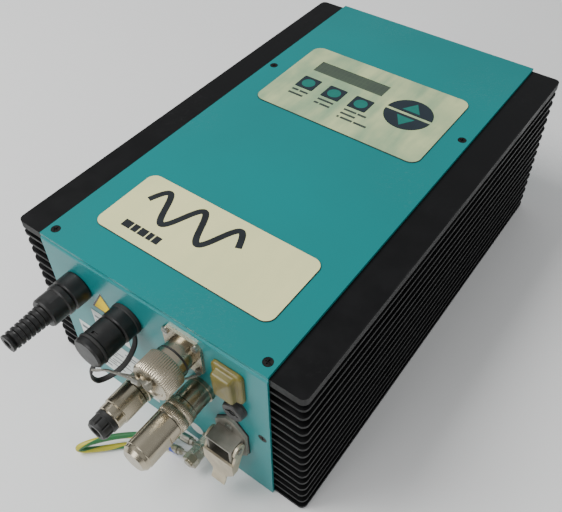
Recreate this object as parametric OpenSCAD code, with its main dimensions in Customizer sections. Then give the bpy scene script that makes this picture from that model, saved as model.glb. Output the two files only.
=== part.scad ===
// Two-output high-voltage supply in a flat case with finned side walls.
// Origin: middle of the underside. +X right, +Y to the back, +Z up, the connector panel faces -Y.

/* [Case] */
// Width of the top cover and of the two end panels
cover_w = 184; // [184:1:240]
// Length of the case from the front panel's face to the rear panel's face
body_l = 364; // [330:1:460]
// Height of the case from the underside to the cover's top
body_h = 140.5; // [140.5:0.5:180]
// Thickness of the top cover sheet
cover_t = 2.2; // [1.5:0.1:3]
// Thickness of the base sheet
base_t = 2.2; // [1.5:0.1:3]
// Thickness of the front and rear panel sheets
panel_t = 1.5; // [1:0.1:2.5]
// Outer radius of the panels' top bend
bend_r = 3; // [2.6:0.1:5]
// Depth of the panels' bent top lip
lip_l = 15; // [10:1:25]

/* [Side walls] */
// Thickness of each side wall behind its fins
wall_t = 12; // [10:0.5:15]
// Length of the fins beyond the wall
fin_l = 24; // [12:1:40]
// Number of thin fins on each wall
fin_count = 15; // [8:1:18]
// Thickness of a thin fin
fin_t = 2; // [1.5:0.1:3]
// Thickness of the thick top fin
top_fin_t = 6; // [3:0.5:10]
// Gap under the thick top fin
top_gap = 4.8; // [3:0.2:8]
// Radius of the fins' outer corners
fin_corner_r = 4.5; // [1:0.5:8]

/* [Case screws] */
// Radius of the case screws' shanks
screw_r = 1.5; // [1.2:0.1:2]
// Radius of their countersunk heads
screw_head_r = 3.2; // [2.8:0.1:3.8]
// Length of the case screws
screw_l = 10; // [6:1:16]
// Distance from the cover's front edge to its front screws
cover_screw_front = 8.9; // [7:0.1:14]
// Distance from the cover's front edge to its rear screws
cover_screw_rear = 243.6; // [180:0.1:300]

/* [Keypad] */
// Width of the membrane overlay
pad_w = 144; // [144:1:160]
// Depth of the membrane overlay
pad_d = 90; // [90:1:110]
// Distance from the front panel to the overlay's near edge
pad_y = 198.5; // [150:0.5:220]
// Thickness of the overlay and of the name plate
sheet_t = 0.8; // [0.7:0.05:1.2]
// Corner radius of the overlay
pad_r = 8; // [4:1:12]
// Side of a square key
key_w = 16; // [12:0.5:18]
// Distance between neighbouring square keys
key_pitch = 24.6; // [20:0.1:26]
// Radius of the disc that the two arrow keys make up
arrow_r = 19; // [15:0.5:21]
// Gap between the two arrow keys
arrow_gap = 3; // [2:0.5:5]
// Width of the display window
lcd_w = 65; // [50:1:70]
// Height of the display window
lcd_h = 15; // [12:0.5:18]
// How far a key travels when pressed
key_travel = 0.4; // [0.2:0.05:0.5]
// Width of the name plate
plate_w = 143.6; // [100:1:160]
// Depth of the name plate
plate_d = 57; // [30:1:70]
// Corner radius of the name plate
plate_r = 7; // [3:1:10]

/* [High-voltage outputs] */
// Radius of an output socket's collar
hv_r = 11.6; // [10.5:0.1:13]
// Length of the collar in front of the panel
hv_collar_l = 12.5; // [9:0.5:16]
// Radius of an output pin
hv_pin_r = 4.5; // [3.5:0.1:5]
// Length of the plug's body in front of the collar
hv_plug_l = 17; // [14:0.5:20]
// Length of the plug's bending relief
hv_boot_l = 28; // [15:1:40]
// Radius of the cable bore in the bending relief
hv_cable_r = 3.2; // [2:0.1:4]
// Length of the blanking cap in front of the collar
hv_cap_l = 22; // [15:0.5:26]

/* [Round receptacle] */
// Side of the square mounting flange
flange_w = 30; // [28:0.5:32]
// Thickness of the flange
flange_t = 2; // [1.5:0.1:3]
// Distance between neighbouring flange screws
flange_pitch = 23; // [22.5:0.1:24]
// Radius of the threaded barrel
round_r = 10.5; // [9:0.1:10.8]
// Radius of the screw cap's knurled grip
cap_r = 13.6; // [12.5:0.1:14]
// Length of the knurled grip
cap_l = 15; // [10:0.5:18]
// Radius of the wire rope that holds the cap
lanyard_r = 0.8; // [0.6:0.1:1]

/* [Cable connectors] */
// Radius of the long plug's barrel
long_r = 10; // [9:0.1:10.5]
// Distance from the panel to the end of the long plug
long_end = 60; // [54:1:75]
// Distance from the panel to the end of the short plug's metal body
small_end = 47; // [42:1:60]
// Radius of the short plug's body
small_r = 9.6; // [8.5:0.1:10]
// Radius of the cable bore in the gland nut
gland_bore_r = 4; // [2.5:0.1:5]

/* [Switch and fuse] */
// Width of the switch's soft cover
boot_w = 22.5; // [22:0.5:26]
// Height of the switch's soft cover
boot_h = 27.5; // [27.5:0.5:34]
// Radius of the fuse cap
fuse_r = 8; // [7:0.1:8.2]
// Length of the fuse cap in front of the panel
fuse_l = 5.5; // [5:0.5:10]

/* [Mains inlet] */
// Width of the inlet housing's hood
inlet_w = 20; // [19:0.5:24]
// Reach of the hood in front of the panel
inlet_reach = 15; // [14:0.5:20]
// Wall of the hood
inlet_wall = 1.8; // [1.4:0.1:2.2]
// Thickness of the locking lever's sheet
lever_t = 1.6; // [1.2:0.1:2]

/* [Earth stud] */
// Radius of the stud's thread
stud_r = 3; // [2.5:0.1:3.2]
// Radius of the earth wire over its insulation
wire_r = 2.2; // [1.5:0.1:2.5]

/* [Hidden] */
$fn = 64;

// Clearances: between fixed pieces, round a shaft that turns or slides, and between moving bodies
fit_gap = 0.1;
run_gap = 0.08;
move_gap = 0.4;

half_w = cover_w / 2;
front_y = -body_l / 2;
inner_x = half_w - wall_t;
sink_h = body_h - cover_t - base_t;
sink_l = body_l - 2 * panel_t;
fin_pitch = (sink_h - top_fin_t - top_gap - fin_t) / (fin_count - 1);
deck_z = body_h - cover_t;
screw_x = half_w - wall_t / 2;
screw_hole_r = screw_r + fit_gap;
case_screw_drop = 72;
head_cone_l = screw_head_r - screw_r;

// Keypad layout, measured on the cover
key_y = front_y + pad_y + pad_d / 2 - 5.9;
key_mid_x = -22;
lcd_x = key_mid_x;
lcd_y = front_y + pad_y + pad_d / 2 + 19.8;
arrow_x = 39.4;
arrow_y = key_y + 9.5;
key_lift = key_travel + 0.05;
key_t = 0.5;
stem_r = 2;
board_z = deck_z - 14;
board_t = 1.6;
dome_h = 3;
plate_y = 28.1;

// Connector layout: sideways from the panel's middle, and drop below the cover's top
hv_left_x = -64;
hv_right_x = -19;
hv_drop = 32;
round_x = 30;
round_drop = 24.5;
long_x = 39.5;
long_drop = 58;
small_x = 4;
small_drop = 66;
switch_x = 64.4;
switch_drop = 27;
fuse_x = 67.6;
fuse_drop = 53;
inlet_x = 62.2;
inlet_drop = 92;
stud_x = 38;
stud_drop = 126;

// ---- Helpers -------------------------------------------------------------------------------

// A place on the front panel's face; the children's +Z points out of the panel
module at_panel(x, drop) {
    translate([x, front_y, body_h - drop]) rotate([90, 0, 0]) children();
}

// A round-cornered rectangle made of squares and circles, centred
module round_rect(w, d, r) {
    square([w - 2 * r, d], center = true);
    square([w, d - 2 * r], center = true);
    for (sx = [-1, 1], sy = [-1, 1])
        translate([sx * (w / 2 - r), sy * (d / 2 - r)]) circle(r);
}

// A countersunk screw pointing down, with its head's top at z = 0 and a cross slot
module csk_screw(length, shank_r, head_r) {
    cone_l = head_r - shank_r;
    difference() {
        rotate_extrude()
            polygon([[0, 0], [head_r, 0], [head_r, -0.3], [shank_r, -0.3 - cone_l],
                     [shank_r, -length], [0, -length]]);
        for (a = [0, 90])
            rotate(a) cube([head_r * 1.1, 0.7, 1.6], center = true);
    }
}

// The hole that a countersunk screw sits in, cut down from z = 0
module csk_hole(depth, shank_r, head_r) {
    hole_r = shank_r + fit_gap;
    rim_r = head_r + fit_gap;
    rotate_extrude()
        polygon([[0, 0.5], [rim_r, 0.5], [rim_r, -0.3 - fit_gap], [hole_r, -0.3 - fit_gap - rim_r + hole_r],
                 [hole_r, -depth], [0, -depth]]);
}

// A cheese-head screw pointing down, with its head standing on z = 0
module cheese_screw(length, shank_r, head_r, head_l) {
    difference() {
        union() {
            cylinder(h = head_l, r = head_r);
            translate([0, 0, -length]) cylinder(h = length, r = shank_r);
        }
        translate([0, 0, head_l]) cube([head_r * 2, 0.8, 1.2], center = true);
    }
}

// A six-sided nut with a round hole, standing on z = 0
module hex_nut(across_flats, hole_r, thickness) {
    difference() {
        cylinder(h = thickness, r = across_flats / sqrt(3), $fn = 6);
        translate([0, 0, -1]) cylinder(h = thickness + 2, r = hole_r);
    }
}

// A row of bosses or holes at the corners of a rectangle
module at_corners(w, d) {
    for (sx = [-1, 1], sy = [-1, 1]) translate([sx * w / 2, sy * d / 2, 0]) children();
}

function unit(v) = v / norm(v);

// Direction of travel at point i of a route
function heading(p, i) = unit(p[min(i + 1, len(p) - 1)] - p[max(i - 1, 0)]);

// A point on a smooth curve through four route points, at t from the second to the third
function blend4(a, b, c, d, t) =
    0.5 * (2 * b + (c - a) * t + (2 * a - 5 * b + 4 * c - d) * t * t + (3 * b - a - 3 * c + d) * t * t * t);

// A route with n steps between neighbouring points
function smooth(p, n) = [
    for (i = [0 : len(p) - 2], k = [0 : n - 1])
        blend4(p[max(i - 1, 0)], p[i], p[i + 1], p[min(i + 2, len(p) - 1)], k / n),
    p[len(p) - 1]
];

// The sideways direction at each point, turned as little as possible from one to the next
function flatten(v, t) = unit(v - (v * t) * t);
function carry(p, start, i) =
    i == 0 ? flatten(start, heading(p, 0)) : flatten(carry(p, start, i - 1), heading(p, i));

// A closed ring-by-ring skin over a route; shape gives one ring's [sideways, upward] points
module sweep(p, start, shape) {
    n = len(shape);
    sides = [for (i = [0 : len(p) - 1]) carry(p, start, i)];
    rings = [
        for (i = [0 : len(p) - 1], s = shape)
            p[i] + s[0] * sides[i] + s[1] * cross(heading(p, i), sides[i])
    ];
    walls = [
        for (i = [0 : len(p) - 2], k = [0 : n - 1])
            [i * n + k, (i + 1) * n + k, (i + 1) * n + (k + 1) % n, i * n + (k + 1) % n]
    ];
    first = [for (k = [0 : n - 1]) k];
    last = [for (k = [n - 1 : -1 : 0]) (len(p) - 1) * n + k];
    polyhedron(points = rings, faces = concat(walls, [first, last]), convexity = 6);
}

function ring_shape(r, sides) = [for (k = [0 : sides - 1]) [r * cos(360 * k / sides),
    r * sin(360 * k / sides)]];

// ---- Case ----------------------------------------------------------------------------------

module base_plate() {
    color([0.18, 0.45, 0.46])
    difference() {
        translate([-half_w, front_y + panel_t, 0]) cube([cover_w, sink_l, base_t]);
        for (sx = [-1, 1], sy = [-1, 1])
            translate([sx * screw_x, sy * (body_l / 2 - 30), 0]) mirror([0, 0, 1])
                csk_hole(base_t + 1, screw_r, screw_head_r);
        at_corners(board_hole_x, board_hole_y)
            translate([0, board_mid_y, -1]) cylinder(h = base_t + 2, r = screw_hole_r);
    }
}

// An end panel with its bent top edge, facing -Y, with its outer face on y = 0 and foot on z = 0
module end_panel_blank() {
    difference() {
        union() {
            translate([-half_w, 0, 0]) cube([cover_w, panel_t, deck_z - bend_r]);
            intersection() {
                translate([-half_w, bend_r, deck_z - bend_r]) rotate([0, 90, 0])
                    cylinder(h = cover_w, r = bend_r);
                translate([-half_w, 0, deck_z - bend_r]) cube([cover_w, bend_r, bend_r]);
            }
            translate([-inner_x + fit_gap, bend_r, deck_z - panel_t])
                cube([2 * (inner_x - fit_gap), lip_l - bend_r, panel_t]);
        }
        translate([-half_w - 1, bend_r, deck_z - bend_r]) rotate([0, 90, 0])
            cylinder(h = cover_w + 2, r = bend_r - panel_t);
        for (sx = [-1, 1])
            translate([inner_x * sx + sx * (wall_t + 2) / 2 - (wall_t + 2) / 2 - sx * fit_gap, panel_t, 0])
                cube([wall_t + 2, lip_l, deck_z + 1]);
        for (sx = [-1, 1])
            translate([sx * screw_x, 0, body_h - case_screw_drop]) rotate([90, 0, 0])
                csk_hole(panel_t + 1, screw_r, screw_head_r);
    }
}

// The hole in the front panel for a fitting of radius r
module panel_hole(x, drop, r) {
    at_panel(x, drop) translate([0, 0, -panel_t - 1]) cylinder(h = panel_t + 2, r = r + fit_gap);
}

module front_panel() {
    color([0.29, 0.58, 0.58])
    difference() {
        translate([0, front_y, 0]) end_panel_blank();
        panel_hole(hv_left_x, hv_drop, hv_neck_r);
        panel_hole(hv_right_x, hv_drop, hv_neck_r);
        panel_hole(round_x, round_drop, round_neck_r);
        for (sx = [-1, 1], sy = [-1, 1])
            panel_hole(round_x + sx * flange_pitch / 2, round_drop + sy * flange_pitch / 2, flange_screw_r);
        panel_hole(long_x, long_drop, long_neck_r);
        panel_hole(small_x, small_drop, small_neck_r);
        panel_hole(fuse_x, fuse_drop, fuse_neck_r);
        panel_hole(stud_x, stud_drop, stud_r);
        at_panel(switch_x, switch_drop)
            cube([switch_cut_w + 2 * fit_gap, switch_cut_h + 2 * fit_gap, 4 * panel_t], center = true);
        at_panel(inlet_x, inlet_drop - insert_y)
            cube([insert_w + 2 * fit_gap, insert_h + 2 * fit_gap, 4 * panel_t], center = true);
        for (sy = [-1, 1])
            panel_hole(inlet_x, inlet_drop + sy * inlet_screw_off, inlet_screw_r);
    }
}

module rear_panel() {
    color([0.29, 0.58, 0.58])
    rotate(180) translate([0, front_y, 0]) end_panel_blank();
}

module top_cover() {
    color([0.12, 0.52, 0.52])
    difference() {
        translate([-half_w, front_y + cover_set, deck_z]) cube([cover_w, body_l - 2 * cover_set, cover_t]);
        for (sx = [-1, 1], d = [cover_screw_front, cover_screw_rear])
            translate([sx * screw_x, front_y + d, body_h]) csk_hole(cover_t + 1, screw_r, screw_head_r);
        translate([lcd_x - lcd_w / 2 + 2, lcd_y - lcd_h / 2 + 1, deck_z - 1])
            cube([lcd_w - 4, lcd_h - 2, cover_t + 2]);
        for (p = key_places)
            translate([p[0], p[1], deck_z - 1]) cylinder(h = cover_t + 2, r = stem_r + move_gap);
    }
}
cover_set = 0.6;
key_places = [
    [key_mid_x - key_pitch, key_y], [key_mid_x, key_y], [key_mid_x + key_pitch, key_y],
    [arrow_x, arrow_y + arrow_r * 0.45], [arrow_x, arrow_y - arrow_r * 0.45]
];

// One finned wall with its flat inner face at x = 0 and its fins towards +X, running along Y
module heat_sink() {
    difference() {
        intersection() {
            translate([0, sink_l / 2, 0]) rotate([90, 0, 0]) linear_extrude(sink_l) {
                square([wall_t, sink_h]);
                translate([0, sink_h - top_fin_t]) square([wall_t + fin_l, top_fin_t]);
                for (i = [0 : fin_count - 1])
                    translate([0, i * fin_pitch]) square([wall_t + fin_l, fin_t]);
            }
            linear_extrude(sink_h) {
                translate([0, -sink_l / 2]) square([wall_t + fin_l - fin_corner_r, sink_l]);
                translate([0, -sink_l / 2 + fin_corner_r])
                    square([wall_t + fin_l, sink_l - 2 * fin_corner_r]);
                for (s = [-1, 1])
                    translate([wall_t + fin_l - fin_corner_r, s * (sink_l / 2 - fin_corner_r)])
                        circle(fin_corner_r);
            }
        }
        for (d = [cover_screw_front, cover_screw_rear])
            translate([wall_t / 2, front_y + d, sink_h - screw_l])
                cylinder(h = screw_l + 1, r = screw_hole_r);
        for (s = [-1, 1]) {
            translate([wall_t / 2, s * (body_l / 2 - 30), -1]) cylinder(h = screw_l + 1, r = screw_hole_r);
            translate([wall_t / 2, s * body_l / 2, body_h - case_screw_drop - base_t])
                rotate([-s * 90, 0, 0])
                csk_hole(screw_l + 0.5, screw_r, screw_head_r);
        }
    }
}

module heat_sink_left() {
    color([0.12, 0.12, 0.13]) translate([-inner_x, 0, base_t]) mirror([1, 0, 0]) heat_sink();
}

module heat_sink_right() {
    color([0.12, 0.12, 0.13]) translate([inner_x, 0, base_t]) heat_sink();
}

module cover_screws() {
    color([0.1, 0.1, 0.1])
    for (sx = [-1, 1], d = [cover_screw_front, cover_screw_rear])
        translate([sx * screw_x, front_y + d, body_h]) csk_screw(screw_l, screw_r, screw_head_r);
}

module case_screws() {
    color([0.12, 0.12, 0.12])
    for (sx = [-1, 1]) {
        for (sy = [-1, 1]) {
            translate([sx * screw_x, sy * (body_l / 2 - 30), 0]) mirror([0, 0, 1])
                csk_screw(screw_l, screw_r, screw_head_r);
            translate([sx * screw_x, sy * body_l / 2, body_h - case_screw_drop]) rotate([-sy * 90, 0, 0])
                csk_screw(screw_l, screw_r, screw_head_r);
        }
    }
}

// ---- Name plate and keypad -----------------------------------------------------------------

module name_plate() {
    color([0.8, 0.8, 0.7])
    translate([0, front_y + plate_y + plate_d / 2, body_h]) linear_extrude(sheet_t)
        round_rect(plate_w, plate_d, plate_r);
}

// Outline of a square key, grown by g
module key_outline(g) {
    round_rect(key_w + 2 * g, key_w + 2 * g, 1 + g);
}

// Outline of one arrow key, grown by g; up is 1 or -1
module arrow_outline(up, g) {
    intersection() {
        circle(arrow_r + g);
        translate([-arrow_r - 1, up > 0 ? arrow_gap / 2 - g : -arrow_r - 1 - arrow_gap / 2 + g])
            square([2 * arrow_r + 2, arrow_r + 1]);
    }
}

module keypad_overlay() {
    color([0.74, 0.76, 0.65])
    difference() {
        translate([0, front_y + pad_y + pad_d / 2, body_h]) linear_extrude(sheet_t)
            round_rect(pad_w, pad_d, pad_r);
        translate([0, 0, body_h - 1]) linear_extrude(sheet_t + 2) {
            for (i = [0 : 2]) translate(key_places[i]) key_outline(key_edge);
            for (up = [-1, 1]) translate([arrow_x, arrow_y]) arrow_outline(up, key_edge);
            translate([lcd_x, lcd_y]) square([lcd_w, lcd_h], center = true);
        }
    }
}
key_edge = 0.2;

// A key: its cap in the overlay, and a stem through the cover down to its switch
module square_key(i) {
    translate([0, 0, body_h + key_lift]) linear_extrude(key_t)
        translate(key_places[i]) key_outline(-key_edge);
    translate([key_places[i][0], key_places[i][1], stem_z])
        cylinder(h = body_h + key_lift + key_t / 2 - stem_z, r = stem_r);
}
stem_z = board_z + dome_h + key_travel + 0.05;

module arrow_key(i, up) {
    translate([0, 0, body_h + key_lift]) linear_extrude(key_t)
        translate([arrow_x, arrow_y]) arrow_outline(up, -key_edge);
    translate([key_places[i][0], key_places[i][1], stem_z])
        cylinder(h = body_h + key_lift + key_t / 2 - stem_z, r = stem_r);
}

module key_left() {
    color([0.1, 0.2, 0.28]) square_key(0);
}

module key_middle() {
    color([0.1, 0.2, 0.28]) square_key(1);
}

module key_right() {
    color([0.1, 0.2, 0.28]) square_key(2);
}

module key_up() {
    color([0.1, 0.2, 0.28]) arrow_key(3, 1);
}

module key_down() {
    color([0.1, 0.2, 0.28]) arrow_key(4, -1);
}

module display_window() {
    color([0.37, 0.43, 0.35])
    translate([lcd_x, lcd_y, body_h]) linear_extrude(sheet_t - 0.2)
        square([lcd_w - 2 * fit_gap, lcd_h - 2 * fit_gap], center = true);
}

module display_module() {
    color([0.3, 0.38, 0.3])
    difference() {
        translate([lcd_x - lcd_w / 2 - 6, lcd_y - lcd_h / 2 - 6, board_z])
            cube([lcd_w + 12, lcd_h + 12, 10]);
        for (p = key_places)
            translate([p[0], p[1], board_z]) cylinder(h = 20, r = stem_r + 2 * move_gap);
    }
}

module control_board() {
    color([0.1, 0.35, 0.2])
    difference() {
        translate([-control_w / 2, front_y + pad_y + 4, board_z - board_t])
            cube([control_w, pad_d - 8, board_t]);
        for (p = control_posts) translate([p[0], p[1], board_z - 5]) cylinder(h = 10, r = screw_hole_r);
    }
}
control_w = 140;
control_posts = [
    for (sx = [-1, 1], dy = [9, pad_d - 9]) [sx * (control_w / 2 - 5), front_y + pad_y + dy]
];

module key_switches() {
    color([0.75, 0.75, 0.7])
    for (p = key_places)
        translate([p[0], p[1], board_z]) {
            translate([-3, -3, 0]) cube([6, 6, dome_h - 1]);
            cylinder(h = dome_h, r = 1.6);
        }
}

// Posts that hang the control board from the cover and stand the main board on the base
module standoffs() {
    color([0.75, 0.72, 0.6]) {
        for (p = control_posts)
            translate([p[0], p[1], board_z]) difference() {
                cylinder(h = deck_z - board_z, r = 3);
                translate([0, 0, -1]) cylinder(h = 8, r = screw_hole_r);
            }
        translate([0, board_mid_y, base_t]) at_corners(board_hole_x, board_hole_y) difference() {
            cylinder(h = main_board_z - base_t, r = 3.5);
            translate([0, 0, -1]) cylinder(h = main_board_z, r = screw_hole_r);
        }
    }
}

// ---- Inside --------------------------------------------------------------------------------

main_board_z = base_t + 8;
board_w = 2 * inner_x - 12;
board_l = body_l - 80;
board_mid_y = 20;
board_hole_x = board_w - 12;
board_hole_y = board_l - 12;
deck_parts_z = main_board_z + board_t;

module main_board() {
    color([0.1, 0.35, 0.2])
    difference() {
        translate([-board_w / 2, board_mid_y - board_l / 2, main_board_z])
            cube([board_w, board_l, board_t]);
        translate([0, board_mid_y, main_board_z - 1]) at_corners(board_hole_x, board_hole_y)
            cylinder(h = board_t + 2, r = screw_hole_r);
    }
}

module mains_filter() {
    color([0.6, 0.6, 0.62])
    translate([10, board_mid_y + board_l / 2 - 75, deck_parts_z]) cube([55, 50, 34]);
}

coil_x = -34;
coil_y = 95;

module transformer_core() {
    color([0.25, 0.25, 0.27])
    translate([coil_x, coil_y, deck_parts_z]) difference() {
        translate([-28, -12, 0]) cube([56, 24, 56]);
        for (sx = [-1, 1]) translate([sx * 15 - 7, -13, 9]) cube([14, 26, 38]);
    }
}

module transformer_coil() {
    color([0.72, 0.45, 0.2])
    translate([coil_x, coil_y, deck_parts_z + 10]) difference() {
        translate([-21, -19, 0]) cube([42, 38, 36]);
        translate([-8.2, -12.2, -1]) cube([16.4, 24.4, 38]);
    }
}

// The two cast blocks that multiply and hold the output voltages, behind their sockets
module hv_blocks() {
    color([0.16, 0.16, 0.18])
    for (x = [hv_left_x + 28, hv_right_x + 34])
        translate([x - 24, front_y + 52, deck_parts_z]) cube([48, 105, 62]);
}

module capacitors() {
    color([0.15, 0.25, 0.5])
    for (k = [0 : 2])
        translate([56, board_mid_y - 22 + k * 30, deck_parts_z]) cylinder(h = 42, r = 12.5);
}

module power_transistors() {
    color([0.1, 0.1, 0.1])
    for (sx = [-1, 1], k = [0 : 2])
        translate([sx * (inner_x - 2.5), board_mid_y + 10 + k * 34, 70]) cube([5, 16, 21], center = true);
}

// ---- High-voltage outputs ------------------------------------------------------------------

hv_neck_r = 8;
hv_rear_l = 26;
hv_pin_l = 20;

strap_w = 5;
strap_t = 1.5;
eye_seat_l = 3.6;
eye_seat_r = hv_r - 1.5;

// The socket: collar with a rounded edge, a threaded neck through the panel, and its nut
module hv_socket() {
    rotate_extrude()
        polygon([[hv_pin_r + run_gap, hv_collar_l], [hv_r - 1.2, hv_collar_l], [hv_r, hv_collar_l - 1.2],
                 [hv_r, 1], [hv_r - 0.8, 0], [hv_neck_r, 0], [hv_neck_r, -hv_rear_l],
                 [0, -hv_rear_l], [0, -hv_pin_l], [hv_pin_r + run_gap, -hv_pin_l]]);
    translate([0, 0, -panel_t - 5]) hex_nut(19, hv_neck_r + fit_gap, 5);
}

module hv_socket_left() {
    color([0.11, 0.11, 0.11]) at_panel(hv_left_x, hv_drop) hv_socket();
}

module hv_socket_right() {
    color([0.11, 0.11, 0.11]) at_panel(hv_right_x, hv_drop) difference() {
        hv_socket();
        translate([0, 0, -0.5]) difference() {
            cylinder(h = eye_seat_l + 0.5, r = hv_r + 1);
            translate([0, 0, -1]) cylinder(h = eye_seat_l + 3, r = eye_seat_r);
        }
    }
}

hv_plug_start = hv_collar_l + move_gap;
hv_plug_end = hv_plug_start + hv_plug_l;
boot_root_r = 7.4;
boot_tip_r = 6.4;
boot_socket_l = 4;

// The plug's body: insulated pin, round grip with two flats, and a seat for the bending relief
module hv_plug() {
    color([0.11, 0.11, 0.11])
    at_panel(hv_left_x, hv_drop) difference() {
        rotate_extrude()
            polygon([[0, -hv_pin_l + 1], [hv_pin_r - 1, -hv_pin_l + 1], [hv_pin_r, -hv_pin_l + 2],
                     [hv_pin_r, hv_plug_start], [hv_r - 0.9, hv_plug_start],
                     [hv_r - 0.2, hv_plug_start + 0.8],
                     [hv_r - 0.2, hv_plug_start + 4], [hv_r - 1, hv_plug_start + 5],
                     [hv_r - 1, hv_plug_end - 1.2], [hv_r - 1.8, hv_plug_end],
                     [boot_root_r - 1, hv_plug_end], [boot_root_r - 1, hv_plug_end - boot_socket_l],
                     [0, hv_plug_end - boot_socket_l]]);
        for (a = [0, 180])
            rotate(a) translate([-hv_r, hv_r - 2, hv_plug_start + 5]) cube([2 * hv_r, 5, hv_plug_l - 9]);
    }
}

// The ribbed bending relief, with the cable's bore along it
module hv_plug_boot() {
    ribs = 7;
    rib_pitch = (hv_boot_l - 3) / ribs;
    color([0.09, 0.09, 0.1])
    at_panel(hv_left_x, hv_drop) translate([0, 0, hv_plug_end]) rotate_extrude()
        polygon(concat(
            [[hv_cable_r, -boot_socket_l], [boot_root_r - 1, -boot_socket_l], [boot_root_r - 1, 0]],
            [for (k = [0 : ribs - 1], s = [0, 1, 2, 3])
                let (z = 0.8 + (k + [0, 0.1, 0.6, 0.7][s]) * rib_pitch,
                     out = boot_root_r + (boot_tip_r - boot_root_r) * k / ribs)
                [s == 0 || s == 3 ? out - 1.3 : out, z]],
            [[boot_tip_r, hv_boot_l - 1.5], [boot_tip_r, hv_boot_l], [hv_cable_r, hv_boot_l]]));
}

hv_cap_end = hv_plug_start + hv_cap_l;

// The blanking cap: pin, body with a latch window and a grip groove, and a bevelled end
module hv_cap() {
    color([0.12, 0.12, 0.12])
    at_panel(hv_right_x, hv_drop) difference() {
        rotate_extrude()
            polygon([[0, -hv_pin_l + 1], [hv_pin_r - 1, -hv_pin_l + 1], [hv_pin_r, -hv_pin_l + 2],
                     [hv_pin_r, hv_plug_start], [hv_r - 0.9, hv_plug_start],
                     [hv_r - 0.3, hv_plug_start + 0.6],
                     [hv_r - 0.3, hv_cap_end - 7.4], [hv_r - 1.5, hv_cap_end - 7.2],
                     [hv_r - 1.5, hv_cap_end - 4.6], [hv_r - 0.3, hv_cap_end - 4.4],
                     [hv_r - 0.3, hv_cap_end - 1.2], [hv_r - 1.5, hv_cap_end], [0, hv_cap_end]]);
        for (a = [0, 180])
            rotate(a) translate([-2.2, hv_r - 1.6, hv_plug_start + 11.5]) cube([4.4, 3, 1.8]);
    }
}

// The rubber strap: an eye round the collar's foot, a free loop, and an eye in the cap's groove
module hv_cap_strap() {
    edge = strap_w / 2 - 0.6;
    color([0.07, 0.07, 0.08]) {
        at_panel(hv_right_x, hv_drop) difference() {
            translate([0, 0, 0.1]) cylinder(h = eye_seat_l - 0.2, r = hv_r + 0.4);
            translate([0, 0, -1]) cylinder(h = eye_seat_l + 3, r = eye_seat_r + fit_gap);
        }
        at_panel(hv_right_x, hv_drop) difference() {
            translate([0, 0, hv_cap_end - 7]) cylinder(h = 2.2, r = hv_r + 0.3);
            translate([0, 0, hv_cap_end - 8]) cylinder(h = 5, r = hv_r - 1.5 + move_gap);
        }
        translate([hv_right_x, front_y, body_h - hv_drop])
            sweep(smooth(strap_route, 3), [1, 0, 0],
                  [[-edge, -strap_t / 2], [edge, -strap_t / 2], [edge, strap_t / 2], [-edge, strap_t / 2]]);
    }
}
// The strap's free loop from one eye to the other, measured from the socket's axis on the panel's face
strap_route = [
    [4, -1.8, -11], [6, -4, -18], [5, -8, -26], [3, -13, -33], [0, -19, -38], [-3, -25, -40],
    [-5, -31, -38], [-5, -34, -30], [-3.5, -34, -22], [-1.5, -30.8, -15.5], [-1, -29, -11.7]
];

// ---- Round receptacle with its screw cap ---------------------------------------------------

round_neck_r = 9;
flange_screw_r = 1.3;
round_barrel_l = 9;
seal_l = 1.4;
cap_start = round_barrel_l + seal_l + move_gap + 4;
cap_end = cap_start + cap_l;

// The receptacle: clipped square flange, threaded barrel, rear shell and nut
module round_receptacle() {
    clip = flange_w / 2 - 3.5;
    half = flange_w / 2;
    color([0.66, 0.62, 0.55])
    at_panel(round_x, round_drop) difference() {
        union() {
            linear_extrude(flange_t)
                polygon([[clip, half], [half, clip], [half, -clip], [clip, -half],
                         [-clip, -half], [-half, -clip], [-half, clip], [-clip, half]]);
            cylinder(h = round_barrel_l, r = round_r);
            cylinder(h = cap_start + 8, r = round_r - 1.5);
            translate([0, 0, -18]) cylinder(h = 18, r = round_neck_r);
        }
        translate([0, 0, -14]) cylinder(h = 60, r = round_r - 3.2);
        at_corners(flange_pitch, flange_pitch) translate([0, 0, -1])
            cylinder(h = flange_t + 2, r = flange_screw_r + fit_gap);
    }
}

module receptacle_screws() {
    color([0.75, 0.73, 0.68])
    at_panel(round_x, round_drop) at_corners(flange_pitch, flange_pitch)
        translate([0, 0, flange_t]) cheese_screw(flange_t + panel_t + 3, flange_screw_r, 2.4, 1.5);
}

module round_seal() {
    color([0.05, 0.05, 0.05])
    at_panel(round_x, round_drop) translate([0, 0, round_barrel_l + seal_l / 2]) rotate_extrude()
        translate([round_r - 1.5 + fit_gap + 1.4, 0]) circle(seal_l / 2 - 0.05);
}

// The screw cap: smooth skirt, knurled grip and flat end, with the hole for its eyelet's screw
module round_cap() {
    flutes = 60;
    color([0.62, 0.58, 0.51])
    at_panel(round_x, round_drop) difference() {
        union() {
            translate([0, 0, round_barrel_l + seal_l + move_gap])
                cylinder(h = 4, r = round_r + 1);
            rotate_extrude()
                polygon([[0, cap_start], [cap_r - 0.6, cap_start], [cap_r, cap_start + 0.6],
                         [cap_r, cap_end - 1], [cap_r - 1, cap_end], [0, cap_end]]);
        }
        cylinder(h = cap_start + 8 + move_gap, r = round_r - 1.5 + run_gap);
        for (k = [0 : flutes - 1])
            rotate(360 * k / flutes) translate([cap_r, 0, (cap_start + cap_end) / 2])
                rotate(45) cube([0.55, 0.55, cap_l - 4], center = true);
        translate([0, 0, cap_end - 6]) cylinder(h = 7, r = flange_screw_r + run_gap);
    }
}

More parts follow.
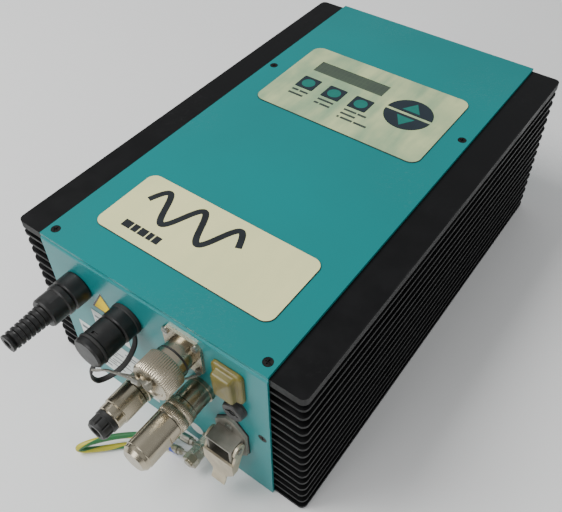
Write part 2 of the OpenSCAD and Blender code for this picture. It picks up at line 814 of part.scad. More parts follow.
// The eyelet of the wire rope and the screw that it swivels on
module cap_eyelet() {
    color([0.78, 0.76, 0.7])
    at_panel(round_x, round_drop) translate([0, 0, cap_end + move_gap]) {
        difference() {
            union() {
                cylinder(h = 1, r = 3.4);
                rotate(200) translate([0, -1.6, 0]) cube([8, 3.2, 1]);
                rotate(200) translate([6.5, 0, 1.9]) rotate([0, 90, 0]) cylinder(h = 6, r = 1.7);
            }
            translate([0, 0, -1]) cylinder(h = 3, r = flange_screw_r + fit_gap);
        }
        translate([0, 0, 1]) cheese_screw(1 + 5, flange_screw_r, 2.8, 1.8);
    }
}

// Twisted wire rope from the cap's eyelet to the flange's lower screw, from the receptacle's axis
lanyard_route = [
    [-11.8, -32.1, -4.3], [-22, -32.4, -8], [-33, -33.5, -12], [-41, -35.5, -15.5], [-45.5, -36.5, -18.5],
    [-43.5, -35, -19.5], [-36, -32.5, -15], [-26, -31, -11.5], [-17, -24, -16], [-6, -15, -20],
    [4, -8, -19], [10, -5, -14.5], [11.5, -4.5, -12.6]
];

module cap_lanyard() {
    color([0.7, 0.7, 0.7])
    translate([round_x, front_y, body_h - round_drop])
        sweep(smooth(lanyard_route, 3), [0, 0, 1], ring_shape(lanyard_r, 8));
}

// ---- Long metal plug -----------------------------------------------------------------------

long_neck_r = 8;
long_shell_l = 16;
long_nose_r = 7;
long_ring_start = long_shell_l + move_gap;
long_ring_end = 30;
long_body_start = long_ring_end + move_gap;
pin_depth = 6;

module long_receptacle() {
    color([0.62, 0.58, 0.5])
    at_panel(long_x, long_drop) {
        difference() {
            union() {
                cylinder(h = 2.5, r = long_r + 0.3);
                cylinder(h = long_shell_l, r = long_r - 0.6);
                translate([0, 0, -16]) cylinder(h = 16, r = long_neck_r);
            }
            translate([0, 0, -pin_depth]) cylinder(h = 60, r = long_nose_r + run_gap);
        }
        translate([0, 0, -panel_t - 4]) hex_nut(19, long_neck_r + fit_gap, 4);
    }
}

// The coupling ring, with three bands of grip ribs, free to turn on the plug's neck
module long_ring() {
    ribs = 5;
    color([0.64, 0.6, 0.52])
    at_panel(long_x, long_drop) rotate_extrude()
        polygon(concat(
            [[long_nose_r + run_gap, long_ring_start], [long_r, long_ring_start]],
            [for (k = [0 : ribs - 1], s = [0, 1, 2, 3])
                let (step = (long_ring_end - long_ring_start - 5) / ribs,
                     z = long_ring_start + 4 + (k + [0, 0.15, 0.6, 0.75][s]) * step)
                [s == 0 || s == 3 ? long_r - 0.1 : long_r + 0.4, z]],
            [[long_r, long_ring_end], [long_nose_r + run_gap, long_ring_end]]));
}

// The plug: a nose that runs into the receptacle, and a barrel with two spanner flats
module long_plug_body() {
    color([0.66, 0.62, 0.54])
    at_panel(long_x, long_drop) difference() {
        rotate_extrude()
            polygon([[0, -pin_depth + 1], [long_nose_r, -pin_depth + 1], [long_nose_r, long_body_start],
                     [long_r, long_body_start], [long_r, long_end - 5], [long_r - 0.4, long_end - 4.6],
                     [long_r - 0.4, long_end - 2.5], [long_r - 2.5, long_end], [0, long_end]]);
        for (a = [0, 180])
            rotate(a) translate([long_r - 0.8, -4.5, long_end - 22]) cube([3, 9, 17]);
    }
}

// ---- Short metal plug with a black gland nut -----------------------------------------------

small_neck_r = 7.5;
small_shell_l = 12;
small_nose_r = 6.5;
small_ring_start = small_shell_l + move_gap;
small_ring_end = 24;
small_body_start = small_ring_end + move_gap;
gland_thread_r = 6.8;
gland_l = 11;

module small_receptacle() {
    color([0.62, 0.58, 0.5])
    at_panel(small_x, small_drop) {
        difference() {
            union() {
                cylinder(h = 2.5, r = small_r);
                cylinder(h = small_shell_l, r = small_r - 1);
                translate([0, 0, -16]) cylinder(h = 16, r = small_neck_r);
            }
            translate([0, 0, -pin_depth]) cylinder(h = 60, r = small_nose_r + run_gap);
        }
        translate([0, 0, -panel_t - 4]) hex_nut(18, small_neck_r + fit_gap, 4);
    }
}

module small_ring() {
    color([0.66, 0.62, 0.54])
    at_panel(small_x, small_drop) rotate_extrude()
        polygon([[small_nose_r + run_gap, small_ring_start], [small_r + 0.2, small_ring_start],
                 [small_r + 0.8, small_ring_start + 0.6], [small_r + 0.8, small_ring_end - 2.4],
                 [small_r, small_ring_end - 2], [small_r, small_ring_end],
                 [small_nose_r + run_gap, small_ring_end]]);
}

module small_plug_body() {
    color([0.68, 0.64, 0.56])
    at_panel(small_x, small_drop) difference() {
        rotate_extrude()
            polygon([[0, -pin_depth + 1], [small_nose_r, -pin_depth + 1], [small_nose_r, small_body_start],
                     [small_r - 0.4, small_body_start], [small_r, small_body_start + 0.4],
                     [small_r, small_end - 6], [small_r - 0.7, small_end - 5.6],
                     [small_r - 0.7, small_end - 0.6], [small_r - 1.3, small_end],
                     [gland_thread_r, small_end], [gland_thread_r, small_end + gland_l - 4],
                     [gland_bore_r, small_end + gland_l - 4], [gland_bore_r, small_end - 12],
                     [0, small_end - 12]]);
        for (a = [20, 200])
            rotate(a) translate([small_r - 1.1, -4.2, small_body_start + 3]) cube([3, 8.4, 13]);
    }
}

module small_gland_nut() {
    tip = small_end + gland_l;
    color([0.12, 0.12, 0.12])
    at_panel(small_x, small_drop) difference() {
        union() {
            rotate_extrude()
                polygon([[gland_thread_r + run_gap, small_end + move_gap],
                    [small_r - 1.2, small_end + move_gap],
                         [small_r - 1.2, small_end + 3], [small_r - 1.8, small_end + 3.4],
                         [small_r - 1.8, tip - 2], [small_r - 3, tip], [gland_bore_r, tip],
                         [gland_bore_r, tip - 4 + move_gap],
                         [gland_thread_r + run_gap, tip - 4 + move_gap]]);
        }
        for (k = [0 : 7])
            rotate(45 * k) translate([small_r - 1.8, 0, small_end + 9]) rotate(45)
                cube([1.2, 1.2, 10], center = true);
    }
}

// ---- Switch --------------------------------------------------------------------------------

switch_cut_w = 14;
switch_cut_h = 20;
bezel_t = 1.6;
rocker_w = 9.4;
rocker_h = 16;
rocker_tilt = 8;
boot_t = 0.9;
boot_top_w = 15;
boot_top_h = 24;
boot_reach = 9;
pivot_d = -1;

// The switch's body behind the panel and its bezel, with the well that the rocker rocks in
module switch_frame() {
    color([0.1, 0.1, 0.1])
    at_panel(switch_x, switch_drop) difference() {
        union() {
            translate([-switch_cut_w / 2, -switch_cut_h / 2, -24]) cube([switch_cut_w, switch_cut_h, 24.5]);
            linear_extrude(bezel_t) round_rect(switch_cut_w + 3, switch_cut_h + 3, 2);
        }
        translate([-rocker_w / 2 - 0.5, -rocker_h / 2 - 1, -6]) cube([rocker_w + 1, rocker_h + 2, 10]);
        translate([0, 0, pivot_d]) rotate([0, 90, 0])
            cylinder(h = rocker_w + 4, r = 1 + run_gap, center = true);
    }
}

// The rocker, lying over to its off side, on a cross pin
module switch_rocker() {
    color([0.08, 0.08, 0.08])
    at_panel(switch_x, switch_drop) translate([0, 0, pivot_d]) rotate([rocker_tilt, 0, 0]) {
        difference() {
            translate([-rocker_w / 2, -rocker_h / 2 + 0.6, -3]) cube([rocker_w, rocker_h - 1.2, 8]);
            translate([0, 0, 5 + 22]) rotate([0, 90, 0]) cylinder(h = rocker_w + 2, r = 24, center = true);
        }
        rotate([0, 90, 0]) cylinder(h = rocker_w + 3, r = 1, center = true);
    }
}

// The soft cover: a flat rim that the switch's bezel clamps, and a raised hollow over the rocker
module switch_boot() {
    color([0.62, 0.56, 0.3])
    at_panel(switch_x, switch_drop) difference() {
        union() {
            boot_hull(boot_w, boot_h, boot_w - 1, boot_h - 1, 0, 3.6);
            boot_hull(boot_top_w + 3, boot_top_h + 2, boot_top_w, boot_top_h - 3, 3.6, boot_reach);
        }
        boot_hull(switch_cut_w + 3.4, switch_cut_h + 3.4, switch_cut_w + 3.4, switch_cut_h + 3.4, -1,
            bezel_t + 0.2);
        boot_hull(boot_top_w, boot_top_h - 1, boot_top_w - 2, boot_top_h - 5, bezel_t, boot_reach - boot_t);
    }
}

// A block that tapers from one rounded rectangle at z0 to another at z1
module boot_hull(w0, h0, w1, h1, z0, z1) {
    hull() {
        translate([0, 0, z0]) linear_extrude(0.02) round_rect(w0, h0, 2, $fn = 24);
        translate([0, 0, z1 - 0.02]) linear_extrude(0.02) round_rect(w1, h1, 2, $fn = 24);
    }
}

// ---- Fuse holder ---------------------------------------------------------------------------

fuse_neck_r = 6.2;
link_r = 3.1;
fuse_depth = 34;

module fuse_holder() {
    color([0.1, 0.1, 0.1])
    at_panel(fuse_x, fuse_drop) {
        rotate_extrude()
            polygon([[link_r + 1.1, 1.2], [fuse_r - 0.3, 1.2], [fuse_r, 0.8], [fuse_r, 0], [fuse_neck_r, 0],
                     [fuse_neck_r, -fuse_depth], [0, -fuse_depth], [0, -fuse_depth + 2],
                     [link_r + 1.1, -fuse_depth + 2]]);
        translate([0, 0, -panel_t - 3.5]) hex_nut(14, fuse_neck_r + fit_gap, 3.5);
    }
}

// The bayonet cap, with a screwdriver slot in its face and a sleeve that grips the fuse link
module fuse_cap() {
    color([0.13, 0.13, 0.13])
    at_panel(fuse_x, fuse_drop) difference() {
        rotate_extrude()
            polygon([[0, fuse_l - 1], [2.6, fuse_l - 1], [2.6, fuse_l - 0.4], [4, fuse_l],
                [fuse_r - 1.2, fuse_l],
                     [fuse_r - 0.5, fuse_l - 0.7], [fuse_r, 1.2 + move_gap], [link_r + 1, 1.2 + move_gap],
                     [link_r + 1, -6], [link_r + run_gap, -6], [link_r + run_gap, 4], [0, 4]]);
        translate([0, 0, fuse_l]) cube([2 * fuse_r - 6, 1.6, 3.4], center = true);
    }
}

module fuse_link() {
    color([0.8, 0.8, 0.78])
    at_panel(fuse_x, fuse_drop) {
        translate([0, 0, 3.5 - 7]) cylinder(h = 7, r = link_r);
        translate([0, 0, -19.5]) cylinder(h = 16, r = link_r - 0.4);
        translate([0, 0, -26.5]) cylinder(h = 7, r = link_r);
    }
}

// ---- Mains inlet ---------------------------------------------------------------------------

inlet_flange_t = 3;
inlet_screw_off = 14.5;
inlet_screw_r = 1.8;
insert_w = 15;
insert_h = 15;
insert_y = -1;
hood_top = 9;
hood_bottom = -11;
inlet_lobe = 21;
inlet_half = 12.3;
lever_pivot_d = 9;
lever_pivot_y = 4;
lever_pin_r = 2.2;
lever_gap = 0.5;
lever_face = 0.6;
lever_top = 8.5;
lever_corner = 20;
lever_low = 29;
tab_w = 11;
tab_l = 7;

// The cast housing: a flange pointed at top and bottom, and a square hood open at its front
module inlet_housing() {
    half = inlet_w / 2;
    color([0.49, 0.48, 0.45])
    at_panel(inlet_x, inlet_drop) difference() {
        union() {
            linear_extrude(inlet_flange_t)
                polygon([[3, inlet_lobe], [inlet_half, 11], [inlet_half, -11], [3, -inlet_lobe],
                         [-3, -inlet_lobe], [-inlet_half, -11], [-inlet_half, 11], [-3, inlet_lobe]]);
            translate([-half, hood_bottom, 0]) cube([inlet_w, hood_top - hood_bottom, inlet_reach]);
            translate([0, lever_pivot_y, lever_pivot_d]) rotate([0, 90, 0])
                cylinder(h = inlet_w + 2 * (lever_gap + lever_t + 0.8), r = lever_pin_r, center = true);
        }
        translate([-half + inlet_wall, hood_bottom + inlet_wall, -1])
            cube([inlet_w - 2 * inlet_wall, hood_top - hood_bottom - 2 * inlet_wall, inlet_reach + 2]);
        for (s = [-1, 1])
            translate([0, s * inlet_screw_off, -1])
                cylinder(h = inlet_flange_t + 2, r = inlet_screw_r + fit_gap);
    }
}

// The contact insert: an insulating block with three blades in its face
module inlet_insert() {
    color([0.2, 0.2, 0.2])
    at_panel(inlet_x, inlet_drop) {
        translate([-insert_w / 2, insert_y - insert_h / 2, -12]) cube([insert_w, insert_h, 15]);
        for (x = [-4.5, 0, 4.5])
            translate([x - 0.8, -3, 3]) cube([1.6, 4, 8]);
    }
}

// The locking lever: two tapered arms on the side pins, a web with a pointed foot, and a finger tab
module inlet_lever() {
    arm_x = inlet_w / 2 + lever_gap;
    wide = arm_x + lever_t;
    face = inlet_reach + lever_face - lever_pivot_d;
    color([0.85, 0.8, 0.7])
    at_panel(inlet_x, inlet_drop) translate([0, lever_pivot_y, lever_pivot_d]) difference() {
        union() {
            for (s = [-1, 1]) translate([s * (arm_x + lever_t / 2), 0, 0]) rotate([0, 90, 0]) {
                cylinder(h = lever_t, r = 5, center = true);
                linear_extrude(lever_t, center = true)
                    polygon([[-4, -3], [-face, -lever_top], [-face - lever_t, -lever_top],
                             [-face - lever_t, -lever_corner], [-face + 3, -lever_corner], [4.6, -2]]);
            }
            translate([0, 0, face]) linear_extrude(lever_t)
                polygon([[-wide, -lever_top], [wide, -lever_top], [wide, -lever_corner],
                    [tab_w / 2, -lever_low],
                         [-tab_w / 2, -lever_low], [-wide, -lever_corner]]);
            translate([0, -lever_low, face]) rotate([0, 90, 0]) linear_extrude(tab_w, center = true)
                polygon([[0, 0], [0, 2], [-lever_t, 2], [-lever_t - 0.6, -2], [-4.6, -tab_l],
                    [-3, -tab_l], [-1, -2]]);
        }
        rotate([0, 90, 0]) cylinder(h = 2 * wide + 10, r = lever_pin_r + run_gap, center = true);
    }
}

module inlet_screws() {
    color([0.78, 0.77, 0.73])
    at_panel(inlet_x, inlet_drop)
        for (s = [-1, 1])
            translate([0, s * inlet_screw_off, inlet_flange_t])
                cheese_screw(inlet_flange_t + panel_t + 4, inlet_screw_r, 3, 1.8);
}

// ---- Earth stud ----------------------------------------------------------------------------

nut_af = 10;
nut_t = 5;
stud_l = 23;
washer_t = 1;
stack_gap = 0.05;
lug_t = 1;
outer_lug_l = 24.5;
inner_lug_l = 19;
outer_lug_angle = 207;
inner_lug_angle = 195;
inner_lug_d = 7.6;
outer_lug_d = 16.2;

// The stud with its nut inside the panel, and the nuts and washers that hold the two lugs
module earth_stud() {
    first_nut_l = inner_lug_d - washer_t - 2 * stack_gap;
    second_washer_d = inner_lug_d + lug_t + stack_gap;
    second_nut_d = second_washer_d + washer_t + stack_gap;
    color([0.7, 0.66, 0.55])
    at_panel(stud_x, stud_drop) {
        translate([0, 0, -panel_t - 12]) cylinder(h = panel_t + 12 + stud_l, r = stud_r);
        translate([0, 0, -panel_t - nut_t]) hex_nut(nut_af, stud_r + fit_gap, nut_t);
        stud_washer();
        translate([0, 0, washer_t + stack_gap]) hex_nut(nut_af, stud_r + fit_gap, first_nut_l);
        translate([0, 0, second_washer_d]) stud_washer();
        translate([0, 0, second_nut_d]) rotate(15)
            hex_nut(nut_af, stud_r + fit_gap, outer_lug_d - second_nut_d - stack_gap);
        translate([0, 0, outer_lug_d + lug_t + stack_gap]) rotate(40)
            hex_nut(nut_af, stud_r + fit_gap, nut_t - 0.5);
    }
}

module stud_washer() {
    difference() {
        cylinder(h = washer_t, r = 6);
        translate([0, 0, -1]) cylinder(h = washer_t + 2, r = stud_r + fit_gap);
    }
}

// A ring lug lying in the x-y plane with its barrel towards +X, and its sleeve
module ring_lug(reach) {
    difference() {
        union() {
            cylinder(h = lug_t, r = 5.6);
            translate([0, -2.2, 0]) cube([reach - 10, 4.4, lug_t]);
        }
        translate([0, 0, -1]) cylinder(h = lug_t + 2, r = stud_r + fit_gap);
    }
    translate([reach - 11, 0, lug_t / 2]) rotate([0, 90, 0]) cylinder(h = 3, r = 2.4);
    translate([reach - 8, 0, lug_t / 2]) rotate([0, 90, 0]) cylinder(h = 8, r = 3.1);
}

module earth_lugs() {
    color([0.2, 0.25, 0.6])
    at_panel(stud_x, stud_drop) {
        translate([0, 0, inner_lug_d]) rotate(inner_lug_angle) ring_lug(inner_lug_l);
        translate([0, 0, outer_lug_d]) rotate(outer_lug_angle) ring_lug(outer_lug_l);
    }
}

// The bonding wire's loop from one lug to the other, from the stud's axis on the panel's face
wire_route = [
    [-18.4, -8.1, -4.9], [-24, -10.8, -5.2], [-34, -18.5, -4], [-45, -26.8, -3.5], [-54, -34.5, -3.5],
    [-61, -42, -3.6], [-67, -49.5, -4], [-71.5, -55, -6], [-73, -56.5, -9], [-70.5, -54, -11.8],
    [-66, -50, -12.2], [-60, -44.5, -12.2], [-52, -36.5, -12.2], [-43, -29, -12.2], [-33, -22.5, -12.1],
    [-21.8, -16.7, -11.1]
];

module earth_wire() {
    color([0.55, 0.7, 0.25])
    translate([stud_x, front_y, body_h - stud_drop])
        sweep(smooth(wire_route, 3), [0, 0, 1], ring_shape(wire_r, 10));
}

// ---- Blank labels --------------------------------------------------------------------------

label_t = 0.2;

module panel_labels() {
    color([0.85, 0.8, 0.4])
        at_panel(-42.9, 47.1) linear_extrude(label_t) polygon([[-12.8, 0], [12.8, 0], [0, 21.4]]);
    color([0.85, 0.86, 0.84]) {
        at_panel(-42.6, 63) linear_extrude(label_t) square([33.4, 19.4], center = true);
        at_panel(-44.5, 103.5) linear_extrude(label_t) square([71, 44.4], center = true);
        at_panel(26.4, 124.3) cylinder(h = label_t, r = 5.7);
    }
}

base_plate();
front_panel();
rear_panel();
top_cover();
heat_sink_left();
heat_sink_right();
cover_screws();
case_screws();
name_plate();
keypad_overlay();
key_left();
key_middle();
key_right();
key_up();
key_down();
display_window();
display_module();
control_board();
key_switches();
standoffs();
main_board();
mains_filter();
transformer_core();
transformer_coil();
hv_blocks();
capacitors();
power_transistors();
hv_socket_left();
hv_plug();
hv_plug_boot();
hv_socket_right();
hv_cap();
hv_cap_strap();
round_receptacle();
receptacle_screws();
round_seal();
round_cap();
cap_eyelet();
cap_lanyard();
long_receptacle();
long_ring();
long_plug_body();
small_receptacle();
small_ring();
small_plug_body();
small_gland_nut();
switch_frame();
switch_rocker();
switch_boot();
fuse_holder();
fuse_cap();
fuse_link();
inlet_housing();
inlet_insert();
inlet_lever();
inlet_screws();
earth_stud();
earth_lugs();
earth_wire();
panel_labels();
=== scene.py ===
# A flat two-output high-voltage supply: a painted sheet case between two finned side walls,
# with a membrane keypad on its cover and all its connectors on the front panel.
import math

import bmesh
import bpy
import numpy as np
from mathutils import Matrix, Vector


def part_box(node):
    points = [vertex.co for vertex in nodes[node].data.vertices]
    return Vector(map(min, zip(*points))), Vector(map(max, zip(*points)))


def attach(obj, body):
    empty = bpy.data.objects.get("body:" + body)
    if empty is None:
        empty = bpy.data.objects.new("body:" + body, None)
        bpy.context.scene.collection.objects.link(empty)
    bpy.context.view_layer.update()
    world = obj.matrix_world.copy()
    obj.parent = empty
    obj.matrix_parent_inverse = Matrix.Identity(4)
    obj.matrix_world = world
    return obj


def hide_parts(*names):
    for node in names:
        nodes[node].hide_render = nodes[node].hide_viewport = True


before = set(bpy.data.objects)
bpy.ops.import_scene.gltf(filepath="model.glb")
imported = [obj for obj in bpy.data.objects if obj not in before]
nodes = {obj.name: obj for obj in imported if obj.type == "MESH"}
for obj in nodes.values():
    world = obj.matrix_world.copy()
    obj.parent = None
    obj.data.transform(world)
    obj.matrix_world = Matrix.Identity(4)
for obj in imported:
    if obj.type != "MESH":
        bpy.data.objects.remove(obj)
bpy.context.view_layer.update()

# ---- Camera ----------------------------------------------------------------------------------
# A normal lens held above the right front corner, looking down over the connectors and back
# along the length of the case.
camera_right = (0.8065, 0.5913, -0.0105)
camera_up = (-0.4126, 0.5752, 0.7064)
camera_back = (0.4237, -0.5653, 0.7078)
camera_place = (0.2206, -0.3358, 0.4606)

lens = bpy.data.cameras.new("camera")
lens.sensor_width = 36.0
lens.lens = 44.52
lens.shift_x = -0.0065
lens.shift_y = -0.065
lens.clip_start = 0.01
camera = bpy.data.objects.new("camera", lens)
bpy.context.scene.collection.objects.link(camera)
camera.matrix_world = Matrix(
    [*zip(camera_right, camera_up, camera_back, camera_place), (0, 0, 0, 1)]
)
bpy.context.scene.camera = camera

# ---- Floor and light -------------------------------------------------------------------------
# A plain pale table top. A wide soft lamp hangs high on the left, weaker ones stand at the
# front and on the right, and the pale room round it all is brightest overhead.
floor_size = 6.0
floor_colour = (0.88, 0.88, 0.87, 1)
room_colour = (0.93, 0.95, 0.97, 1)
room_dim, room_bright = 0.12, 0.55


def new_mesh_object(name, points, faces, material):
    """Points, an (n, 3) array in metres, and faces, lists of point numbers, as an object."""
    mesh = bpy.data.meshes.new(name)
    mesh.from_pydata(np.asarray(points, dtype=float).reshape(-1, 3).tolist(), [], faces)
    mesh.materials.append(material)
    made = bpy.data.objects.new(name, mesh)
    bpy.context.scene.collection.objects.link(made)
    return made


def new_material(name):
    """A named material with its node tree and its Principled shader."""
    material = bpy.data.materials.new(name)
    material.use_nodes = True
    tree = material.node_tree
    return material, tree, tree.nodes["Principled BSDF"]


def wire(tree, source, output, target, socket):
    """Joins an output socket of one node to an input socket of another."""
    tree.links.new(source.outputs[output], target.inputs[socket])


def put(tree, kind, **values):
    """A new node; values set its properties, or its input sockets where a name has none."""
    node = tree.nodes.new(kind)
    for key, value in values.items():
        if hasattr(node, key):
            setattr(node, key, value)
        else:
            node.inputs[key.replace("_", " ")].default_value = value
    return node


table_finish, _, table_shader = new_material("table_top")
table_shader.inputs["Base Color"].default_value = floor_colour
table_shader.inputs["Roughness"].default_value = 0.9
floor_corners = floor_size / 2 * np.array([[-1, -1, 0], [1, -1, 0], [1, 1, 0], [-1, 1, 0]])
table_top = new_mesh_object("table_top", floor_corners, [[0, 1, 2, 3]], table_finish)


def soft_lamp(name, place, target, size, power):
    """A square area lamp with sides of the given size, at its place and facing the target."""
    lamp = bpy.data.lights.new(name, "AREA")
    lamp.size = size
    lamp.energy = power
    held = bpy.data.objects.new(name, lamp)
    bpy.context.scene.collection.objects.link(held)
    away = np.subtract(place, target)
    away = away / np.linalg.norm(away)
    side = np.cross((0, 1, 0.01), away)
    side = side / np.linalg.norm(side)
    upward = np.cross(away, side)
    held.matrix_world = Matrix([*zip(side, upward, away, place), (0, 0, 0, 1)])


soft_lamp("lamp_overhead", place=(-0.9, -0.75, 1.7), target=(0, 0, 0.1), size=1.0, power=36)
soft_lamp("lamp_front", place=(-0.3, -1.8, 0.9), target=(0, -0.1, 0.1), size=0.8, power=9)
soft_lamp("lamp_side", place=(1.6, -0.5, 0.7), target=(0.1, 0, 0.1), size=0.5, power=5)

room = bpy.data.worlds.new("room")
room.use_nodes = True
room_tree = room.node_tree
backdrop = room_tree.nodes["Background"]
backdrop.inputs["Color"].default_value = room_colour
heading = put(room_tree, "ShaderNodeTexCoord")
heading_parts = put(room_tree, "ShaderNodeSeparateXYZ")
brightness = put(room_tree, "ShaderNodeMapRange", From_Min=0.05, From_Max=0.6,
                 To_Min=room_dim, To_Max=room_bright)
wire(room_tree, heading, "Generated", heading_parts, "Vector")
wire(room_tree, heading_parts, "Z", brightness, "Value")
wire(room_tree, brightness, "Result", backdrop, "Strength")
bpy.context.scene.world = room

# ---- Case sheets -----------------------------------------------------------------------------
# The cover, the two end panels and the base are folded or flat steel sheet, powder coated in a
# blue-green gloss with a faint orange peel, rubbed dull in places and finely scratched.
cover_colour = "007D7E"
panel_colour = "007A7C"


def colour(code):
    """Linear colour with full alpha from six hex digits, by the sRGB curve."""
    parts = [int(code[i : i + 2], 16) / 255 for i in (0, 2, 4)]
    return (*[p / 12.92 if p <= 0.04045 else ((p + 0.055) / 1.055) ** 2.4 for p in parts], 1)


def build_wear_group():
    """Mottle: soft blotches of noise. Scratches: thin lines where a noise stretched along a
    slanting direction crosses its middle value, kept only in some places. Grain: fine noise."""
    group = bpy.data.node_groups.new("wear", "ShaderNodeTree")
    for name in ("Patches", "Lines", "Grains"):
        group.interface.new_socket(name=name, in_out="INPUT", socket_type="NodeSocketFloat")
    for name in ("Mottle", "Scratches", "Grain"):
        group.interface.new_socket(name=name, in_out="OUTPUT", socket_type="NodeSocketFloat")
    start = put(group, "NodeGroupInput")
    end = put(group, "NodeGroupOutput")
    place = put(group, "ShaderNodeTexCoord")
    blotch = put(group, "ShaderNodeTexNoise", Detail=4.0)
    soft = put(group, "ShaderNodeMapRange", From_Min=0.38, From_Max=0.66)
    wire(group, place, "Object", blotch, "Vector")
    wire(group, start, "Patches", blotch, "Scale")
    wire(group, blotch, "Fac", soft, "Value")
    wire(group, soft, "Result", end, "Mottle")
    turn = put(group, "ShaderNodeMapping", vector_type="TEXTURE", Rotation=(0, -0.49, 0.745),
               Scale=(1, 0.06, 0.06))
    streak = put(group, "ShaderNodeTexNoise", Detail=3.0)
    middle = put(group, "ShaderNodeMath", operation="SUBTRACT")
    middle.inputs[1].default_value = 0.5
    size = put(group, "ShaderNodeMath", operation="ABSOLUTE")
    thin = put(group, "ShaderNodeMapRange", From_Max=0.008, To_Min=1.0, To_Max=0.0)
    where = put(group, "ShaderNodeTexNoise", Scale=9.0, Detail=2.0)
    some = put(group, "ShaderNodeMapRange", From_Min=0.52, From_Max=0.68)
    both = put(group, "ShaderNodeMath", operation="MULTIPLY")
    wire(group, place, "Object", turn, "Vector")
    wire(group, turn, "Vector", streak, "Vector")
    wire(group, start, "Lines", streak, "Scale")
    wire(group, streak, "Fac", middle, 0)
    wire(group, middle, "Value", size, 0)
    wire(group, size, "Value", thin, "Value")
    wire(group, place, "Object", where, "Vector")
    wire(group, where, "Fac", some, "Value")
    wire(group, thin, "Result", both, 0)
    wire(group, some, "Result", both, 1)
    wire(group, both, "Value", end, "Scratches")
    fine = put(group, "ShaderNodeTexNoise", Detail=2.0)
    wire(group, place, "Object", fine, "Vector")
    wire(group, start, "Grains", fine, "Scale")
    wire(group, fine, "Fac", end, "Grain")
    return group


wear_group = build_wear_group()
mix_first, mix_second, mix_result = 6, 7, 2


def blend_colours(tree, factor_node, factor_socket, strength, first, second):
    """A colour mix from first towards second by strength times the factor; first or second is
    a colour or a node whose colour result is used."""
    scaled = put(tree, "ShaderNodeMath", operation="MULTIPLY")
    scaled.inputs[1].default_value = strength
    wire(tree, factor_node, factor_socket, scaled, 0)
    mixed = put(tree, "ShaderNodeMix", data_type="RGBA")
    wire(tree, scaled, "Value", mixed, 0)
    for socket, value in ((mix_first, first), (mix_second, second)):
        if isinstance(value, tuple):
            mixed.inputs[socket].default_value = value
        else:
            output = mix_result if value.bl_idname == "ShaderNodeMix" else 0
            wire(tree, value, output, mixed, socket)
    return mixed


def wear_node(tree, patches, lines, grains):
    """The shared wear in a material's tree, with its three scales."""
    return put(tree, "ShaderNodeGroup", node_tree=wear_group, Patches=patches, Lines=lines,
               Grains=grains)


def drifting_roughness(tree, wear, shader, low, high):
    """A roughness that goes from low to high with the blotches."""
    gloss = put(tree, "ShaderNodeMapRange", To_Min=low, To_Max=high)
    wire(tree, wear, "Mottle", gloss, "Value")
    wire(tree, gloss, "Result", shader, "Roughness")


def grain_bump(tree, wear, shader, relief):
    """The grain as a bump of the relief's height in metres."""
    bump = put(tree, "ShaderNodeBump", Distance=relief)
    wire(tree, wear, "Grain", bump, "Height")
    wire(tree, bump, "Normal", shader, "Normal")


def worn_finish(name, base, worn, roughness, relief=0.00002, patches=14.0, lines=30.0,
                grains=900.0, blotch=0.5, scratched=0.35, scratch="C9CCC8", spread=0.08,
                **sockets):
    """A finish whose colour drifts from base to worn in blotches, with scratches in their own
    colour and a roughness that follows the blotches within the spread. Further values go to
    the shader's sockets of the same names."""
    material, tree, shader = new_material(name)
    wear = wear_node(tree, patches, lines, grains)
    drift = blend_colours(tree, wear, "Mottle", blotch, colour(base), colour(worn))
    marked = blend_colours(tree, wear, "Scratches", scratched, drift, colour(scratch))
    wire(tree, marked, mix_result, shader, "Base Color")
    drifting_roughness(tree, wear, shader, roughness - spread / 2, roughness + spread / 2)
    grain_bump(tree, wear, shader, relief)
    for socket, value in sockets.items():
        shader.inputs[socket.replace("_", " ")].default_value = value
    return material


def give(material, *names):
    """Puts the material into every slot of the named CAD nodes."""
    for name in names:
        for slot in nodes[name].material_slots:
            slot.material = material


cover_paint = worn_finish("cover_paint", cover_colour, "107272", 0.38, patches=7.0,
                          lines=22.0, scratched=0.10, Specular_IOR_Level=0.32)
panel_paint = worn_finish("panel_paint", panel_colour, "2A8486", 0.34, patches=20.0,
                          scratched=0.12, Specular_IOR_Level=0.5)
base_paint = worn_finish("base_paint", "2F7577", "3A8587", 0.5)
give(cover_paint, "top_cover")
give(panel_paint, "front_panel", "rear_panel")
give(base_paint, "base_plate")

# ---- Side walls ------------------------------------------------------------------------------
# Extruded aluminium heat sinks, black anodised. Their lit fin tips are painted a dull grey as a
# highlight, and the flat top fins carry long pale scratches.
fin_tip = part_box("heat_sink_right")[1][0]
highlight_band = 0.0012


def anodised_finish():
    """Black anodising; a mask that rises within a thin band of the fins' outer edges, broken up
    by the blotches, turns it grey: a painted highlight on the lit fin tips."""
    material, tree, shader = new_material("sink_anodised")
    wear = wear_node(tree, patches=60.0, lines=14.0, grains=1600.0)
    place = put(tree, "ShaderNodeTexCoord")
    split = put(tree, "ShaderNodeSeparateXYZ")
    out = put(tree, "ShaderNodeMath", operation="ABSOLUTE")
    tip = put(tree, "ShaderNodeMapRange", From_Min=fin_tip - highlight_band, From_Max=fin_tip)
    highlight_mask = put(tree, "ShaderNodeMath", operation="MULTIPLY")
    wire(tree, place, "Object", split, "Vector")
    wire(tree, split, "X", out, 0)
    wire(tree, out, "Value", tip, "Value")
    wire(tree, tip, "Result", highlight_mask, 0)
    wire(tree, wear, "Mottle", highlight_mask, 1)
    drift = blend_colours(tree, wear, "Mottle", 0.5, colour("0B0B0C"), colour("131314"))
    # Painted highlight: the lit fin tips turn grey.
    tip_highlight = blend_colours(tree, highlight_mask, "Value", 0.45, drift, colour("303030"))
    marked = blend_colours(tree, wear, "Scratches", 0.22, tip_highlight, colour("555554"))
    wire(tree, marked, mix_result, shader, "Base Color")
    drifting_roughness(tree, wear, shader, 0.38, 0.52)
    grain_bump(tree, wear, shader, 0.00001)
    shader.inputs["Specular IOR Level"].default_value = 0.2
    return material


